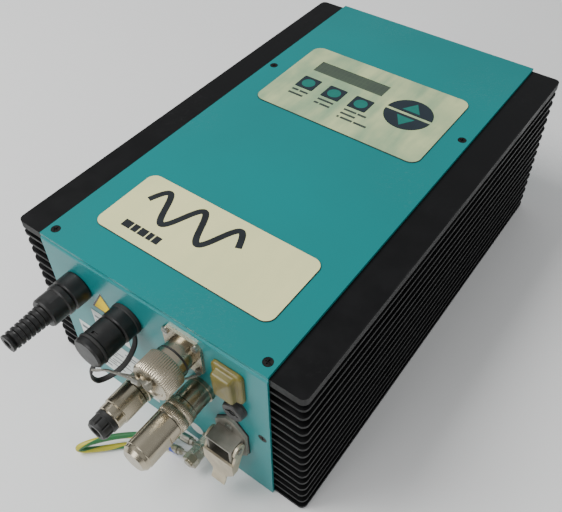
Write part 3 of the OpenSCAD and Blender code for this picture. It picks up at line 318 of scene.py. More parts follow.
give(anodised_finish(), "heat_sink_left", "heat_sink_right")

# ---- Case screws -----------------------------------------------------------------------------
# Small countersunk steel screws, blackened: one set holds the cover down, the other holds
# the end panels and the base to the side walls.
black_screw = worn_finish("black_screw", "1B1B1C", "3A3936", 0.42, patches=500.0, lines=500.0,
                          scratched=0.6, Metallic=0.7)
give(black_screw, "cover_screws", "case_screws")

# ---- Name plate ------------------------------------------------------------------------------
# A printed film plate glued to the cover's front, with painted shade along its cut edge and a
# painted shadow line round it on the cover, and a plain decorative wave and a row of plain bars
# printed on it in dark blue-grey.
ink_lift = 0.00004
line_width = 0.0004
line_height = 0.0003
corner_steps = 8
plate_corner = 0.007
wave_width = 0.077
wave_height = 0.025
wave_stroke = 0.0046
wave_left = -0.056
wave_turns = 2.5
wave_steps = 160
bar_widths = (0.0072, 0.0048, 0.0062, 0.0040, 0.0051)
bar_height = 0.0062
bar_gap = 0.0011
bar_indent = 0.0015
plate_low, plate_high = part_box("name_plate")
plate_front, plate_top = plate_low[1], plate_high[2]
wave_y = plate_front + 0.0356
bar_y = plate_front + 0.0078


def film_finish(name, face, worn, edge, patches, blotch):
    """A printed film: its face colour with stretched streaks of wear, and painted shade on its
    cut edge, where the surface isn't level, in the edge colour."""
    material, tree, shader = new_material(name)
    wear = wear_node(tree, patches, lines=40.0, grains=1400.0)
    place = put(tree, "ShaderNodeTexCoord")
    stretch = put(tree, "ShaderNodeMapping", Scale=(70, 14, 1))
    streak = put(tree, "ShaderNodeTexNoise", Scale=1.0, Detail=4.0)
    soft = put(tree, "ShaderNodeMapRange", From_Min=0.42, From_Max=0.72)
    wire(tree, place, "Object", stretch, "Vector")
    wire(tree, stretch, "Vector", streak, "Vector")
    wire(tree, streak, "Fac", soft, "Value")
    drift = blend_colours(tree, wear, "Mottle", blotch, colour(face), colour(worn))
    streaked = blend_colours(tree, soft, "Result", blotch, drift, colour(worn))
    marked = blend_colours(tree, wear, "Scratches", 0.2, streaked, colour("8E9488"))
    # Painted shade: faces that are not level, the film's cut edge, take the dark edge colour.
    level = put(tree, "ShaderNodeNewGeometry")
    parts = put(tree, "ShaderNodeSeparateXYZ")
    slope = put(tree, "ShaderNodeMapRange", From_Min=0.3, From_Max=0.7, To_Min=1.0, To_Max=0.0)
    wire(tree, level, "Normal", parts, "Vector")
    wire(tree, parts, "Z", slope, "Value")
    whole = blend_colours(tree, slope, "Result", 1.0, marked, colour(edge))
    wire(tree, whole, mix_result, shader, "Base Color")
    grain_bump(tree, wear, shader, 0.00001)
    shader.inputs["Roughness"].default_value = 0.42
    return material


plate_film = film_finish("plate_film", face="EBE9AC", worn="D9DDA4", edge="3B3A30",
                         patches=22.0, blotch=0.4)
give(plate_film, "name_plate")
plate_ink = worn_finish("plate_ink", "0F151A", "182026", 0.45, patches=120.0, scratched=0.15)
# Painted shadow: a dark ring on the cover round each film's edge.
shadow_line_paint = worn_finish("shadow_line_paint", "1F3B3C", "2A4A4B", 0.6, patches=120.0)


def grid_faces(rows, columns, round_rows=False, round_columns=False):
    """Quads between neighbours of a rows x columns grid of points, closed round where asked."""
    i, k = np.meshgrid(
        np.arange(rows if round_rows else rows - 1),
        np.arange(columns if round_columns else columns - 1),
        indexing="ij",
    )
    j, m = (i + 1) % rows, (k + 1) % columns
    corners = [i * columns + k, i * columns + m, j * columns + m, j * columns + k]
    return np.stack(corners, axis=-1).reshape(-1, 4).tolist()


def end_faces(rows, columns):
    """The two faces that close the first and the last ring of a rows x columns grid."""
    last = (rows - 1) * columns
    return [list(range(columns))[::-1], list(range(last, last + columns))]


def flat_piece(name, outline, bottom, top, material):
    """A flat plate: the outline, an (n, 2) array going round anticlockwise, at two heights,
    joined by a wall and closed by two faces."""
    count = len(outline)
    rings = [np.column_stack([outline, np.full(count, z)]) for z in (bottom, top)]
    faces = grid_faces(2, count, round_columns=True) + end_faces(2, count)
    return new_mesh_object(name, np.vstack(rings), faces, material)


def belongs(piece, body):
    """The piece rides on the body."""
    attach(piece, body)


def outward(made):
    """Turns every face of a closed shell outwards."""
    shell = bmesh.new()
    shell.from_mesh(made.data)
    bmesh.ops.recalc_face_normals(shell, faces=shell.faces)
    shell.to_mesh(made.data)
    shell.free()


def rounded_section(width, thick, corner, steps):
    """A rectangle with rounded corners as a ring of points, anticlockwise."""
    turn = np.linspace(0, math.pi / 2, steps)
    quarter = corner * np.column_stack([np.cos(turn), np.sin(turn)])
    ring = []
    for k, (sx, sy) in enumerate(((1, 1), (-1, 1), (-1, -1), (1, -1))):
        spin = np.array([[math.cos(k * math.pi / 2), -math.sin(k * math.pi / 2)],
                         [math.sin(k * math.pi / 2), math.cos(k * math.pi / 2)]])
        centre = np.array([sx * (width / 2 - corner), sy * (thick / 2 - corner)])
        ring.append(centre + quarter @ spin.T)
    return np.vstack(ring)


def edge_line(name, node, corner):
    """A dark line round a film, its painted shadow: a flat ring on the cover between the film's
    rounded rectangle and the same one moved out by line_width."""
    low, high = (np.array(place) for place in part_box(node))
    width, depth = (high - low)[:2]
    count = 4 * corner_steps
    rings = []
    for reach, z in ((0, low[2]), (line_width, low[2]), (line_width, low[2] + line_height),
                     (0, low[2] + line_height)):
        ring = rounded_section(width + 2 * reach, depth + 2 * reach, corner + reach, corner_steps)
        rings.append(np.column_stack([ring + ((low + high) / 2)[:2], np.full(count, z)]))
    faces = grid_faces(4, count, round_rows=True, round_columns=True)
    line = new_mesh_object(name, np.vstack(rings), faces, shadow_line_paint)
    outward(line)
    belongs(line, "case")


def wave_outline(x0, width, y0, height, stroke, turns, steps):
    """A sine ribbon: y0 + height / 2 sin(2 pi turns t) for t from 0 to 1 over the width, moved
    half the stroke to each side along the curve's normal."""
    t = np.linspace(0, 1, steps)
    x = x0 + width * t
    y = y0 + height / 2 * np.sin(2 * math.pi * turns * t)
    slope = height * math.pi * turns / width * np.cos(2 * math.pi * turns * t)
    across = np.column_stack([-slope, np.ones(steps)]) / np.hypot(1, slope)[:, None]
    middle = np.column_stack([x, y])
    return np.vstack([middle - stroke / 2 * across, (middle + stroke / 2 * across)[::-1]])


def bar_outline(x0, y0, width, height):
    """A rectangle from its lower left corner."""
    return np.array([[x0, y0], [x0 + width, y0], [x0 + width, y0 + height], [x0, y0 + height]])


edge_line("plate_line", "name_plate", plate_corner)
wave = flat_piece("plate_wave", wave_outline(wave_left, wave_width, wave_y, wave_height,
                                             wave_stroke, wave_turns, wave_steps),
                  plate_top, plate_top + ink_lift, plate_ink)
belongs(wave, "case")
bar_x = wave_left + bar_indent
for number, width in enumerate(bar_widths):
    bar = flat_piece(f"plate_bar_{number}", bar_outline(bar_x, bar_y, width, bar_height),
                     plate_top, plate_top + ink_lift, plate_ink)
    belongs(bar, "case")
    bar_x += width + bar_gap

# ---- Keypad ----------------------------------------------------------------------------------
# A membrane keypad: a printed film overlay, streaked by cleaning, over five short-travel keys
# and a display window. Each square key shows a round spot, each arrow key a triangle.
spot_radius = 0.0055
arrow_half = 0.0075
arrow_length = 0.0113
arrow_inset = 0.0024
caption_inset = 0.0006
caption_drop = 0.0058
caption_height = 0.0022
caption_pitch = 0.0053
caption_gap = 0.0012
overlay_corner = 0.008
overlay_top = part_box("keypad_overlay")[1][2]

# The overlay's cut edge takes painted shade, and a dark ring round it paints its shadow on the
# cover.
overlay_film = film_finish("overlay_film", face="C8D39C", worn="789F80", edge="3C463C",
                           patches=16.0, blotch=0.85)
give(overlay_film, "keypad_overlay")
edge_line("overlay_line", "keypad_overlay", overlay_corner)
key_film = worn_finish("key_film", "14222C", "1D2C36", 0.4, patches=90.0, scratched=0.25)
give(key_film, "key_left", "key_middle", "key_right", "key_up", "key_down")
spot_film = worn_finish("spot_film", "006D63", "0E776B", 0.4, patches=200.0, scratched=0.15)
caption_ink = worn_finish("caption_ink", "2F3836", "424B46", 0.5, patches=200.0, scratched=0.2)


def middle_of(node):
    """The centre of a CAD node's box."""
    low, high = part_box(node)
    return (np.array(low) + np.array(high)) / 2


def circle_points(steps):
    """The unit circle as a ring of points, anticlockwise."""
    turn = np.linspace(0, 2 * math.pi, steps, endpoint=False)
    return np.column_stack([np.cos(turn), np.sin(turn)])


for side in ("left", "middle", "right"):
    key = f"key_{side}"
    key_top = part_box(key)[1][2]
    spot = flat_piece(f"{key}_spot", middle_of(key)[:2] + spot_radius * circle_points(64),
                      key_top, key_top + ink_lift, spot_film)
    belongs(spot, f"{side}_key")
for side, towards in (("up", 1), ("down", -1)):
    key = f"key_{side}"
    low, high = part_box(key)
    base_y = (low[1] if towards > 0 else high[1]) + towards * arrow_inset
    tip_y = base_y + towards * arrow_length
    x = middle_of(key)[0]
    corners = np.array([[x - arrow_half, base_y], [x + arrow_half, base_y], [x, tip_y]])
    arrow = flat_piece(f"{key}_arrow", corners[::towards], high[2], high[2] + ink_lift, spot_film)
    belongs(arrow, f"{side}_key")

# The widths of the bars in each row under a key.
caption_rows = {
    "left": ((0.0060, 0.0078), (0.0135,)),
    "middle": ((0.0145,), (0.0040, 0.0092)),
    "right": ((0.0110, 0.0075), (0.0130,), (0.0020, 0.0105, 0.0110)),
}
for side, rows in caption_rows.items():
    low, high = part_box(f"key_{side}")
    for row, widths in enumerate(rows):
        x = low[0] + caption_inset
        y = low[1] - caption_drop - row * caption_pitch
        for number, width in enumerate(widths):
            bar = flat_piece(f"caption_{side}_{row}_{number}",
                             bar_outline(x, y, width, caption_height),
                             overlay_top, overlay_top + ink_lift, caption_ink)
            belongs(bar, "case")
            x += width + caption_gap


def window_finish():
    """A clear window over a grey-green display: faint upright cells under soft dark patches."""
    material, tree, shader = new_material("display_window")
    place = put(tree, "ShaderNodeTexCoord")
    cells = put(tree, "ShaderNodeTexBrick", offset=0.0, Scale=1.0, Mortar_Size=0.00025,
                Brick_Width=0.0034, Row_Height=0.0058, Color1=colour("43543F"),
                Color2=colour("3F503D"), Mortar=colour("4B5C44"))
    dusk = put(tree, "ShaderNodeTexNoise", Scale=35.0, Detail=2.0)
    wire(tree, place, "Object", cells, "Vector")
    wire(tree, place, "Object", dusk, "Vector")
    toned = blend_colours(tree, dusk, "Fac", 0.9, cells, colour("27352E"))
    wire(tree, toned, mix_result, shader, "Base Color")
    shader.inputs["Roughness"].default_value = 0.22
    shader.inputs["Coat Weight"].default_value = 0.5
    return material


give(window_finish(), "display_window")

# ---- Inside the case -------------------------------------------------------------------------
# A main board with its transformer, filter can, potted high-voltage blocks, capacitors and
# power transistors against the side walls, and a control board under the keypad.
board_finish = worn_finish("board_finish", "1E4A2C", "245735", 0.45, patches=60.0, scratched=0.1)
give(board_finish, "control_board", "main_board")
dark_plastic = worn_finish("dark_plastic", "1A1A1B", "252524", 0.48, patches=80.0, scratched=0.15)
give(dark_plastic, "key_switches", "power_transistors", "display_module")
brass = worn_finish("brass", "A98B4B", "8A7038", 0.34, patches=150.0, Metallic=1.0)
give(brass, "standoffs")
give(worn_finish("filter_can", "A2A4A3", "8D8F8E", 0.36, Metallic=0.9), "mains_filter")
give(worn_finish("ferrite", "35353A", "2B2B2F", 0.7, grains=2500.0), "transformer_core")
give(worn_finish("coil_tape", "B98F22", "A37C1A", 0.5, patches=50.0), "transformer_coil")
give(worn_finish("potting", "262422", "2F2C29", 0.3, patches=25.0), "hv_blocks")
give(worn_finish("sleeve", "1B2438", "232E45", 0.35, patches=70.0), "capacitors")

# ---- High-voltage outlets --------------------------------------------------------------------
# Two moulded high-voltage sockets. One holds a plug with a ribbed strain relief; the other is
# shut with a plug-shaped blanking cap, kept by a moulded rubber strap that loops under it.
panel_y = -0.182
outlet_x, outlet_z = -0.019, 0.1085
moulding = worn_finish("moulding", "0F0F0F", "242321", 0.42, patches=120.0, lines=120.0,
                       blotch=0.6, scratch="8A867C")
socket_black = worn_finish("socket_black", "0F0F0F", "1D1C1B", 0.42, patches=110.0, blotch=0.6)
relief_rubber = worn_finish("relief_rubber", "0F0F0E", "1F1E1D", 0.5, patches=160.0,
                            blotch=0.7)
give(socket_black, "hv_socket_left", "hv_socket_right")
give(moulding, "hv_plug", "hv_cap")
give(relief_rubber, "hv_plug_boot")
strap_start = np.array([outlet_x, panel_y, outlet_z])
strap_steps = 0.001 * np.array([
    [4, -1.8, -11], [6, -4, -18], [5, -8, -26], [3, -13, -33], [0, -19, -38], [-3, -25, -40],
    [-5, -31, -38], [-5, -34, -30], [-3.5, -34, -22], [-1.5, -30.8, -15.5], [-1, -29, -11.7],
])
strap_width = 0.0038
strap_thick = 0.0015
strap_corner = 0.0005
# Each eye of the strap: near face, far face, bore radius, outer radius.
strap_eyes = ((0.0001, 0.0035, 0.0102, 0.0120), (0.0279, 0.0301, 0.0105, 0.0119))
eye_lip = 0.0005


def smooth_route(points, steps):
    """Catmull-Rom: between neighbours b and c, with a before and d after,
    (2b + (c - a)t + (2a - 5b + 4c - d)t^2 + (3b - a - 3c + d)t^3) / 2 for t from 0 to 1."""
    points = np.asarray(points, dtype=float)
    first, last = 2 * points[0] - points[1], 2 * points[-1] - points[-2]
    held = np.vstack([first, points, last])
    a, b, c, d = (held[k : k + len(points) - 1, None, :] for k in range(4))
    t = (np.arange(steps) / steps)[None, :, None]
    curve = 2 * b + (c - a) * t + (2 * a - 5 * b + 4 * c - d) * t**2
    curve = (curve + (3 * b - a - 3 * c + d) * t**3) / 2
    return np.vstack([curve.reshape(-1, 3), points[-1:]])


def length_along(route):
    """Distance from the route's start to each of its points."""
    return np.concatenate([[0], np.cumsum(np.linalg.norm(np.diff(route, axis=0), axis=1))])


def route_frames(route, first_across):
    """Unit tangent, across and normal along a route; across is carried from point to point
    with its part along the tangent taken away, so that it doesn't twist."""
    tangent = np.gradient(route, axis=0)
    tangent /= np.linalg.norm(tangent, axis=1)[:, None]
    across = np.empty_like(route)
    held = np.array(first_across, dtype=float)
    for k, along in enumerate(tangent):
        held = held - along * np.dot(held, along)
        held /= np.linalg.norm(held)
        across[k] = held
    return tangent, across, np.cross(tangent, across)


def smoothed(made, crease):
    """Smooth shading that keeps edges of more than crease degrees sharp."""
    made.data.shade_smooth()
    made.data.set_sharp_from_angle(angle=math.radians(crease))


def swept(name, route, first_across, section, material):
    """A section, (n, 2) offsets across and along the normal, carried along the route; section
    may also be (points, n, 2), one section for each point. UV: u along in metres, v round."""
    tangent, across, normal = route_frames(route, first_across)
    section = np.broadcast_to(section, (len(route), *np.shape(section)[-2:]))
    rings = route[:, None] + section[..., :1] * across[:, None]
    rings = rings + section[..., 1:] * normal[:, None]
    count = section.shape[1]
    faces = grid_faces(len(route), count, round_columns=True) + end_faces(len(route), count)
    made = new_mesh_object(name, rings, faces, material)
    far = length_along(route)
    rows, columns = np.meshgrid(np.arange(len(route) - 1), np.arange(count), indexing="ij")
    corner_rows = np.stack([rows, rows, rows + 1, rows + 1], axis=-1)
    corner_columns = np.stack([columns, columns + 1, columns + 1, columns], axis=-1)
    wall_uv = np.stack([far[corner_rows], corner_columns / count], axis=-1).reshape(-1, 2)
    uv = np.vstack([wall_uv, np.zeros((2 * count, 2))])
    made.data.uv_layers.new(name="along").data.foreach_set("uv", uv.ravel())
    made.data.shade_smooth()
    return made


def turned(name, x, z, profile, steps, material, ripple=None, close=False):
    """A surface turned about the line through (x, z) along -Y. The profile is rows of distance
    out of the front panel and radius; ripple(row, angle) is added to the radius. Its two ends
    are closed by flat faces, or joined to each other where close is set."""
    out, radius = np.asarray(profile, dtype=float).T
    angle = np.linspace(0, 2 * math.pi, steps, endpoint=False)
    r = np.broadcast_to(radius[:, None], (len(out), steps)).copy()
    if ripple is not None:
        r += ripple(np.arange(len(out))[:, None], angle[None, :])
    y = np.broadcast_to(panel_y - out[:, None], r.shape)
    points = np.stack([x + r * np.sin(angle), y, z - r * np.cos(angle)], axis=-1)
    faces = grid_faces(len(out), steps, round_rows=close, round_columns=True)
    if not close:
        faces += end_faces(len(out), steps)
    made = new_mesh_object(name, points, faces, material)
    outward(made)
    smoothed(made, 32)
    return made


strap_rubber = worn_finish("strap_rubber", "1D1C1B", "2C2A28", 0.62, patches=150.0, blotch=0.6)
strap_route = smooth_route(strap_start + strap_steps, 8)
strap_band = swept("strap_band", strap_route, (1, 0, 0),
                   rounded_section(strap_width, strap_thick, strap_corner, 4), strap_rubber)
smoothed(strap_band, 40)
outward(strap_band)
eyes = []
for number, (near, far, inner, outer) in enumerate(strap_eyes):
    profile = [(near, inner), (near, outer - eye_lip), (near + eye_lip, outer),
               (far - eye_lip, outer), (far, outer - eye_lip), (far, inner)]
    eye = turned(f"strap_eye_{number}", outlet_x, outlet_z, profile, 72, strap_rubber,
                 close=True)
    eyes.append(eye)
for piece in (strap_band, *eyes):
    belongs(piece, "case")
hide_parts("hv_cap_strap")

# ---- Round connector and its cap -------------------------------------------------------------
# A square-flanged receptacle on four screws, covered by a screw cap with a fine straight
# knurl and a rubber ring. A twisted steel lanyard holds the cap's eyelet to a flange screw.
nickel_dull = worn_finish("nickel_dull", "B5AC98", "9D937F", 0.25, relief=0.0000005,
                          patches=90.0, lines=60.0, blotch=0.35, scratched=0.1,
                          scratch="E6E0D2", spread=0.06, Metallic=1.0)
flange_alloy = worn_finish("flange_alloy", "A79F8C", "8D8473", 0.28, relief=0.0000005,
                           patches=90.0, lines=60.0, blotch=0.4, scratched=0.1,
                           spread=0.06, Metallic=1.0)
bright_steel = worn_finish("bright_steel", "A8A79F", "86847C", 0.32, relief=0.000003,
                           patches=300.0, lines=300.0, scratched=0.5, Metallic=0.9)
rubber_black = worn_finish("rubber_black", "1B1B1A", "2B2A28", 0.6, patches=150.0)
give(flange_alloy, "round_receptacle")
give(bright_steel, "receptacle_screws", "cap_eyelet")
give(rubber_black, "round_seal")
cap_x, cap_z = middle_of("round_cap")[[0, 2]]
cap_teeth = 60
cap_tooth_depth = 0.00045
cap_knurled_rows = (7, 8)
knurl_power = 0.6
cap_profile = np.array([
    [0.0232, 0.00005], [0.0232, 0.0091], [0.0108, 0.0091], [0.0108, 0.0115],
    [0.0146, 0.0115], [0.0148, 0.0117], [0.0148, 0.0130], [0.0154, 0.0136],
    [0.0286, 0.0136], [0.0298, 0.0126], [0.0298, 0.0102], [0.0290, 0.0094],
    [0.0290, 0.0030], [0.0290, 0.00005],
])


def knurl(teeth, depth, rows):
    """Ridges on some rows of a profile: minus depth |sin(teeth angle / 2)|^knurl_power."""
    def ripple(row, angle):
        ridge = np.abs(np.sin(teeth * angle / 2)) ** knurl_power
        return -depth * ridge * np.isin(row, rows)
    return ripple


cap_shell = turned("round_cap_shell", cap_x, cap_z, cap_profile, cap_teeth * 8, nickel_dull,
                   ripple=knurl(cap_teeth, cap_tooth_depth, cap_knurled_rows))
belongs(cap_shell, "screw_cap")
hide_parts("round_cap")

lanyard_start = np.array([0.030, panel_y, 0.116])
lanyard_steps = 0.001 * np.array([
    [-11.8, -32.1, -4.3], [-22, -32.4, -8], [-33, -33.5, -12], [-41, -35.5, -15.5],
    [-45.5, -36.5, -18.5], [-43.5, -35, -19.5], [-36, -32.5, -15], [-26, -31, -11.5],
    [-17, -24, -16], [-6, -15, -20], [4, -8, -19], [10, -5, -14.5], [11.5, -4.5, -12.6],
])
lanyard_radius = 0.00078
lanyard_lay = 0.0052
lanyard_strands = 3
rope_sides = 24
lanyard_route = smooth_route(lanyard_start + lanyard_steps, 16)


def stranded(angle, strands):
    """The radius of a rope of touching round strands, as a share of the whole: the outer edge
    of a circle of radius s round a centre 1 - s out, where s = 1 / (1 + 1 / sin(pi / n)) for
    n strands."""
    s = 1 / (1 + 1 / math.sin(math.pi / strands))
    off = np.mod(angle + math.pi / strands, 2 * math.pi / strands) - math.pi / strands
    middle = 1 - s
    return middle * np.cos(off) + np.sqrt(np.maximum(s**2 - (middle * np.sin(off)) ** 2, 0))


around = np.linspace(0, 2 * math.pi, rope_sides, endpoint=False)
lay_turn = 2 * math.pi * length_along(lanyard_route)[:, None] / lanyard_lay
rope_r = lanyard_radius * stranded(around[None, :] - lay_turn, lanyard_strands)
rope_section = rope_r[..., None] * circle_points(rope_sides)
rope_steel = worn_finish("rope_steel", "9C9A92", "6E6A60", 0.4, patches=400.0, Metallic=0.85)
lanyard = swept("lanyard_rope", lanyard_route, (0, 0, 1), rope_section, rope_steel)
outward(lanyard)
belongs(lanyard, "case")
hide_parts("cap_lanyard")

# ---- Long and short cable plugs --------------------------------------------------------------
# Two round threaded connectors side by side, turned from nickel-plated brass: each has a
# receptacle, a knurled coupling ring and a plug body, and the shorter one a black gland nut.
give(nickel_dull, "long_plug_body", "small_plug_body", "small_ring")
give(flange_alloy, "long_receptacle", "small_receptacle")
ring_teeth = 56
ring_tooth_depth = 0.00038
ring_knurled_rows = (4, 5, 8, 9)
ring_profile = np.array([
    [0.0164, 0.00708], [0.0164, 0.0096], [0.0168, 0.0100], [0.0190, 0.0100],
    [0.0193, 0.0104], [0.0226, 0.0104], [0.0229, 0.0099], [0.0240, 0.0099],
    [0.0243, 0.0104], [0.0281, 0.0104], [0.0284, 0.0100], [0.0296, 0.0100],
    [0.0300, 0.0096], [0.0300, 0.00708],
])
ring_x, ring_z = middle_of("long_ring")[[0, 2]]
coupling = turned("long_ring_shell", ring_x, ring_z, ring_profile, ring_teeth * 8, nickel_dull,
                  ripple=knurl(ring_teeth, ring_tooth_depth, ring_knurled_rows), close=True)
belongs(coupling, "long_coupling_ring")
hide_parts("long_ring")
gland_black = worn_finish("gland_black", "1C1C1B", "2D2C2A", 0.5, patches=150.0, lines=150.0,
                          scratched=0.4)
give(gland_black, "small_gland_nut")

# ---- Rocker switch ---------------------------------------------------------------------------
# A two-position rocker in a snap-in frame, under a soft yellowed silicone boot whose raised
# block slopes with the rocker beneath it.
give(dark_plastic, "switch_frame", "switch_rocker")
boot_x, boot_z = 0.0644, 0.1135
boot_thick = 0.0006
boot_tilt = 0.0005
boot_foot, boot_rise = 0.0036, 0.003
# Each ring: half width, half height, corner radius, distance out of the panel.
boot_rings = 0.001 * np.array([
    [11.2, 13.7, 3.0, 0.1], [11.2, 13.7, 3.0, 0.6], [11.2, 13.7, 3.0, 2.0],
    [11.0, 13.5, 2.9, 2.6], [10.5, 13.0, 2.6, 3.1], [9.8, 12.7, 2.3, 3.3],
    [8.3, 12.5, 2.0, 3.4], [7.8, 12.1, 1.8, 3.7], [7.5, 11.9, 1.8, 4.4],
    [7.3, 11.6, 1.7, 6.6], [7.1, 11.4, 1.7, 7.5], [6.6, 10.9, 1.5, 8.1],
    [6.0, 10.3, 1.3, 8.25], [4.0, 7.0, 0.9, 8.3], [1.5, 2.6, 0.4, 8.35],
])


def boot_surface():
    """Rounded rectangles from rows of half width, half height, corner and distance out: the
    flange, its rounded rim, the wall of the raised block and its top. From boot_foot outwards
    they lean out more the higher up a point is, by boot_tilt at most."""
    rings = []
    for half_w, half_h, corner, out in boot_rings:
        ring = rounded_section(2 * half_w, 2 * half_h, corner, 7)
        lean = boot_tilt * np.clip((out - boot_foot) / boot_rise, 0, 1) * ring[:, 1] / half_h
        y = panel_y - out - lean
        rings.append(np.column_stack([boot_x + ring[:, 0], y, boot_z + ring[:, 1]]))
    return np.array(rings)


silicone = worn_finish("silicone", "5C5212", "746A26", 0.42, patches=120.0, blotch=0.8,
                       scratched=0.1, Coat_Weight=0.15)
boot_points = boot_surface()
boot_rows, boot_columns = boot_points.shape[:2]
boot_faces = grid_faces(boot_rows, boot_columns, round_columns=True)
boot_faces += end_faces(boot_rows, boot_columns)[1:]
boot = new_mesh_object("switch_boot_skin", boot_points, boot_faces, silicone)
wall = boot.modifiers.new("wall", "SOLIDIFY")
wall.thickness = boot_thick
wall.offset = -1
belongs(boot, "case")
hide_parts("switch_boot")
smoothed(boot, 50)

# ---- Fuse holder -----------------------------------------------------------------------------
# A bayonet fuse holder in black moulded plastic: a sleeve, a screwdriver-slotted round knob and
# the glass fuse it carries.
fuse_black = worn_finish("fuse_black", "1D1D1D", "3A3936", 0.42, patches=180.0, lines=200.0,
                         scratched=0.5)
give(fuse_black, "fuse_cap", "fuse_holder")
give(worn_finish("fuse_glass", "C9C6BC", "B3AFA3", 0.2, patches=200.0), "fuse_link")

# ---- Mains inlet -----------------------------------------------------------------------------
# A small three-pole inlet in a die-cast hood on two screws, with a thin gasket, a dark moulded
# insert, and a bent sheet lever that swings over it to lock the plug.
hood_casting = worn_finish("hood_casting", "8D8A80", "757268", 0.5, patches=120.0,
                           lines=120.0, blotch=0.7, Metallic=0.25)
insert_grey = worn_finish("insert_grey", "6B6963", "7B7972", 0.5, patches=150.0)
lever_plate = worn_finish("lever_plate", "C9BEA6", "A59A82", 0.38, patches=110.0,
                          lines=110.0, blotch=0.6, scratched=0.4, Metallic=0.45)
give(hood_casting, "inlet_housing")
give(bright_steel, "inlet_screws")
give(insert_grey, "inlet_insert")
give(lever_plate, "inlet_lever")

flange_x, flange_z = 0.0622, 0.0485
flange_corners = 0.001 * np.array([
    [3, 21], [-3, 21], [-12.3, 11], [-12.3, -11], [-3, -21], [3, -21], [12.3, -11], [12.3, 11],
])
gasket_reach = 0.0005
gasket_back, gasket_front = 0.0001, 0.0009


def moved_out(corners, reach):
    """A convex outline, anticlockwise, with every side moved out by reach: each corner goes
    by reach (n + m) / (1 + n.m), where n and m are the outward normals of its two sides."""
    side = np.roll(corners, -1, axis=0) - corners
    side /= np.linalg.norm(side, axis=1)[:, None]
    after = np.column_stack([side[:, 1], -side[:, 0]])
    before = np.roll(after, 1, axis=0)
    share = 1 + (after * before).sum(axis=1)
    return corners + reach * (after + before) / share[:, None]


gasket_corners = moved_out(flange_corners, gasket_reach)
loops = []
for outline, out in ((flange_corners, gasket_back), (gasket_corners, gasket_back),
                     (gasket_corners, gasket_front), (flange_corners, gasket_front)):
    x, z = outline.T
    loops.append(np.column_stack([flange_x + x, np.full(len(x), panel_y - out), flange_z + z]))
gasket_faces = grid_faces(4, len(flange_corners), round_rows=True, round_columns=True)
gasket = new_mesh_object("inlet_gasket", np.vstack(loops), gasket_faces, rubber_black)
outward(gasket)
belongs(gasket, "case")

# ---- Earth connection ------------------------------------------------------------------------
# A threaded stud through the panel with nuts and washers, two ring terminals, and a stiff wire
# in green and yellow stripes that leaves to the left, doubles back and ends in the second ring.
stud_steel = worn_finish("stud_steel", "B5AF9E", "8B8575", 0.3, relief=0.000003,
                         patches=200.0, Metallic=0.95)
give(stud_steel, "earth_stud")
sleeve_end = 0.0235
sleeve_top = 0.0066


def lug_finish():
    """Tinned copper, and the blue plastic sleeve over the lower terminal's barrel, where x is
    under sleeve_end and z under sleeve_top."""
    material, tree, shader = new_material("lug_tin")
    wear = wear_node(tree, patches=200.0, lines=250.0, grains=1500.0)
    place = put(tree, "ShaderNodeTexCoord")
    parts = put(tree, "ShaderNodeSeparateXYZ")
    left = put(tree, "ShaderNodeMath", operation="LESS_THAN")
    left.inputs[1].default_value = sleeve_end
    low = put(tree, "ShaderNodeMath", operation="LESS_THAN")
    low.inputs[1].default_value = sleeve_top
    sleeve = put(tree, "ShaderNodeMath", operation="MULTIPLY")
    wire(tree, place, "Object", parts, "Vector")
    wire(tree, parts, "X", left, 0)
    wire(tree, parts, "Z", low, 0)
    wire(tree, left, "Value", sleeve, 0)
    wire(tree, low, "Value", sleeve, 1)
    metal = blend_colours(tree, wear, "Mottle", 0.6, colour("BDB9AC"), colour("8C877A"))
    blue = blend_colours(tree, wear, "Mottle", 0.5, colour("1B3FB0"), colour("152F86"))
    whole = blend_colours(tree, sleeve, "Value", 1.0, metal, blue)
    wire(tree, whole, mix_result, shader, "Base Color")
    bare = put(tree, "ShaderNodeMath", operation="SUBTRACT")
    bare.inputs[0].default_value = 1.0
    wire(tree, sleeve, "Value", bare, 1)
    wire(tree, bare, "Value", shader, "Metallic")
    shader.inputs["Roughness"].default_value = 0.32
    return material


give(lug_finish(), "earth_lugs")
wire_start = np.array([0.038, panel_y, 0.0145])
wire_steps = 0.001 * np.array([
    [-18.4, -8.1, -4.9], [-24, -10.8, -5.2], [-34, -18.5, -4], [-45, -26.8, -3.5],
    [-54, -34.5, -3.5], [-61, -42, -3.6], [-67, -49.5, -4], [-71.5, -55, -6],
    [-73, -56.5, -9], [-70.5, -54, -11.8], [-66, -50, -12.2], [-60, -44.5, -12.2],
    [-52, -36.5, -12.2], [-43, -29, -12.2], [-33, -22.5, -12.1], [-21.8, -16.7, -11.1],
])
wire_radius = 0.00215
stripe_share = 0.4
stripe_blur = 0.02
stripe_lay = 0.060
wire_route = smooth_route(wire_start + wire_steps, 10)


def striped_finish():
    """Green insulation with one yellow stripe that turns slowly round it: yellow where the
    fraction of v + u / lay is under the stripe's share of the way round."""
    material, tree, shader = new_material("wire_insulation")
    wear = wear_node(tree, patches=90.0, lines=120.0, grains=1500.0)
    along = put(tree, "ShaderNodeUVMap", uv_map="along")
    parts = put(tree, "ShaderNodeSeparateXYZ")
    share = put(tree, "ShaderNodeMath", operation="MULTIPLY_ADD")
    share.inputs[1].default_value = 1 / stripe_lay
    turn = put(tree, "ShaderNodeMath", operation="FRACT")
    edge = put(tree, "ShaderNodeMapRange", From_Min=stripe_share - stripe_blur,
               From_Max=stripe_share + stripe_blur)
    wire(tree, along, "UV", parts, "Vector")
    wire(tree, parts, "X", share, 0)
    wire(tree, parts, "Y", share, 2)
    wire(tree, share, "Value", turn, 0)
    wire(tree, turn, "Value", edge, "Value")
    striped = blend_colours(tree, edge, "Result", 1.0, colour("C2B92E"), colour("1F6B3A"))
    grimy = blend_colours(tree, wear, "Mottle", 0.25, striped, colour("5B5A40"))
    wire(tree, grimy, mix_result, shader, "Base Color")
    shader.inputs["Roughness"].default_value = 0.38
    return material


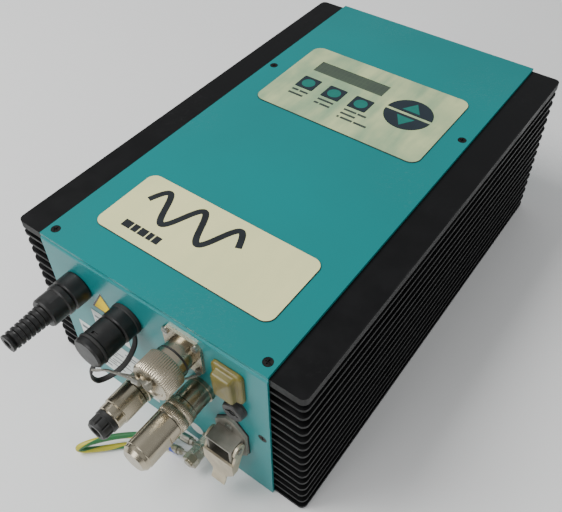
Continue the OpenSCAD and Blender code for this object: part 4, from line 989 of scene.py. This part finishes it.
earth_tube = swept("earth_tube", wire_route, (0, 0, 1), wire_radius * circle_points(28),
                   striped_finish())
smoothed(earth_tube, 40)
outward(earth_tube)
belongs(earth_tube, "case")
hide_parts("earth_wire")

# ---- Panel labels ----------------------------------------------------------------------------
# Printed stickers on the front panel: a plain yellow triangle with a dark border, two white
# rectangles with faint plain bars, and a small round one by the earth stud.
sticker_lift = 0.00004
sticker_white = worn_finish("sticker_white", "D9DDD9", "C3C9C4", 0.5, patches=70.0,
                            scratched=0.3)
sticker_yellow = worn_finish("sticker_yellow", "F4D400", "E8C400", 0.55, patches=110.0,
                             Specular_IOR_Level=0.15)
sticker_ink = worn_finish("sticker_ink", "5D6668", "6F787A", 0.5, patches=150.0)
sticker_dark = worn_finish("sticker_dark", "1E1C16", "2B2820", 0.45, patches=150.0)
give(sticker_white, "panel_labels")
label_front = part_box("panel_labels")[0][1]


def upright_piece(name, outline, back, front, material):
    """A flat plate facing the front: the outline, (n, 2) of x and height going round
    anticlockwise as seen from the front, between two distances along Y."""
    count = len(outline)
    outline = np.asarray(outline, dtype=float)
    rings = [np.column_stack([outline[:, 0], np.full(count, y), outline[:, 1]])
             for y in (back, front)]
    faces = grid_faces(2, count, round_columns=True) + end_faces(2, count)
    made = new_mesh_object(name, np.vstack(rings), faces, material)
    outward(made)
    return made


def shrunk_triangle(corners, inset):
    """The corners of a triangle moved inwards so that every side moves in by the inset."""
    corners = np.asarray(corners, dtype=float)
    side = np.linalg.norm(np.roll(corners, -2, axis=0) - np.roll(corners, -1, axis=0), axis=1)
    centre = (side[:, None] * corners).sum(axis=0) / side.sum()
    a, b = corners[1] - corners[0], corners[2] - corners[0]
    inner_radius = abs(a[0] * b[1] - a[1] * b[0]) / side.sum()
    return centre + (corners - centre) * (1 - inset / inner_radius)


sign = np.array([[-0.0557, 0.0934], [-0.0301, 0.0934], [-0.0429, 0.1148]])
for name, inset, lift, finish in (("sign_border", 0.0001, 1, sticker_dark),
                                  ("sign_face", 0.0014, 2, sticker_yellow)):
    layer = upright_piece(name, shrunk_triangle(sign, inset), label_front,
                          label_front - lift * sticker_lift, finish)
    belongs(layer, "case")

# Each bar: left edge, lower edge, width, height.
label_bars = (
    (-0.0575, 0.0795, 0.0180, 0.0022), (-0.0575, 0.0750, 0.0240, 0.0014),
    (-0.0575, 0.0715, 0.0130, 0.0014), (-0.0780, 0.0520, 0.0240, 0.0032),
    (-0.0780, 0.0462, 0.0400, 0.0014), (-0.0780, 0.0425, 0.0330, 0.0014),
    (-0.0780, 0.0388, 0.0450, 0.0014), (-0.0780, 0.0330, 0.0160, 0.0014),
    (-0.0520, 0.0330, 0.0210, 0.0014), (-0.0780, 0.0293, 0.0290, 0.0014),
    (-0.0780, 0.0256, 0.0370, 0.0014), (-0.0780, 0.0200, 0.0220, 0.0020),
    (-0.0350, 0.0520, 0.0200, 0.0014), (-0.0350, 0.0484, 0.0140, 0.0014),
)
for number, (x, z, width, height) in enumerate(label_bars):
    bar = upright_piece(f"label_bar_{number}", bar_outline(x, z, width, height), label_front,
                        label_front - sticker_lift, sticker_ink)
    belongs(bar, "case")
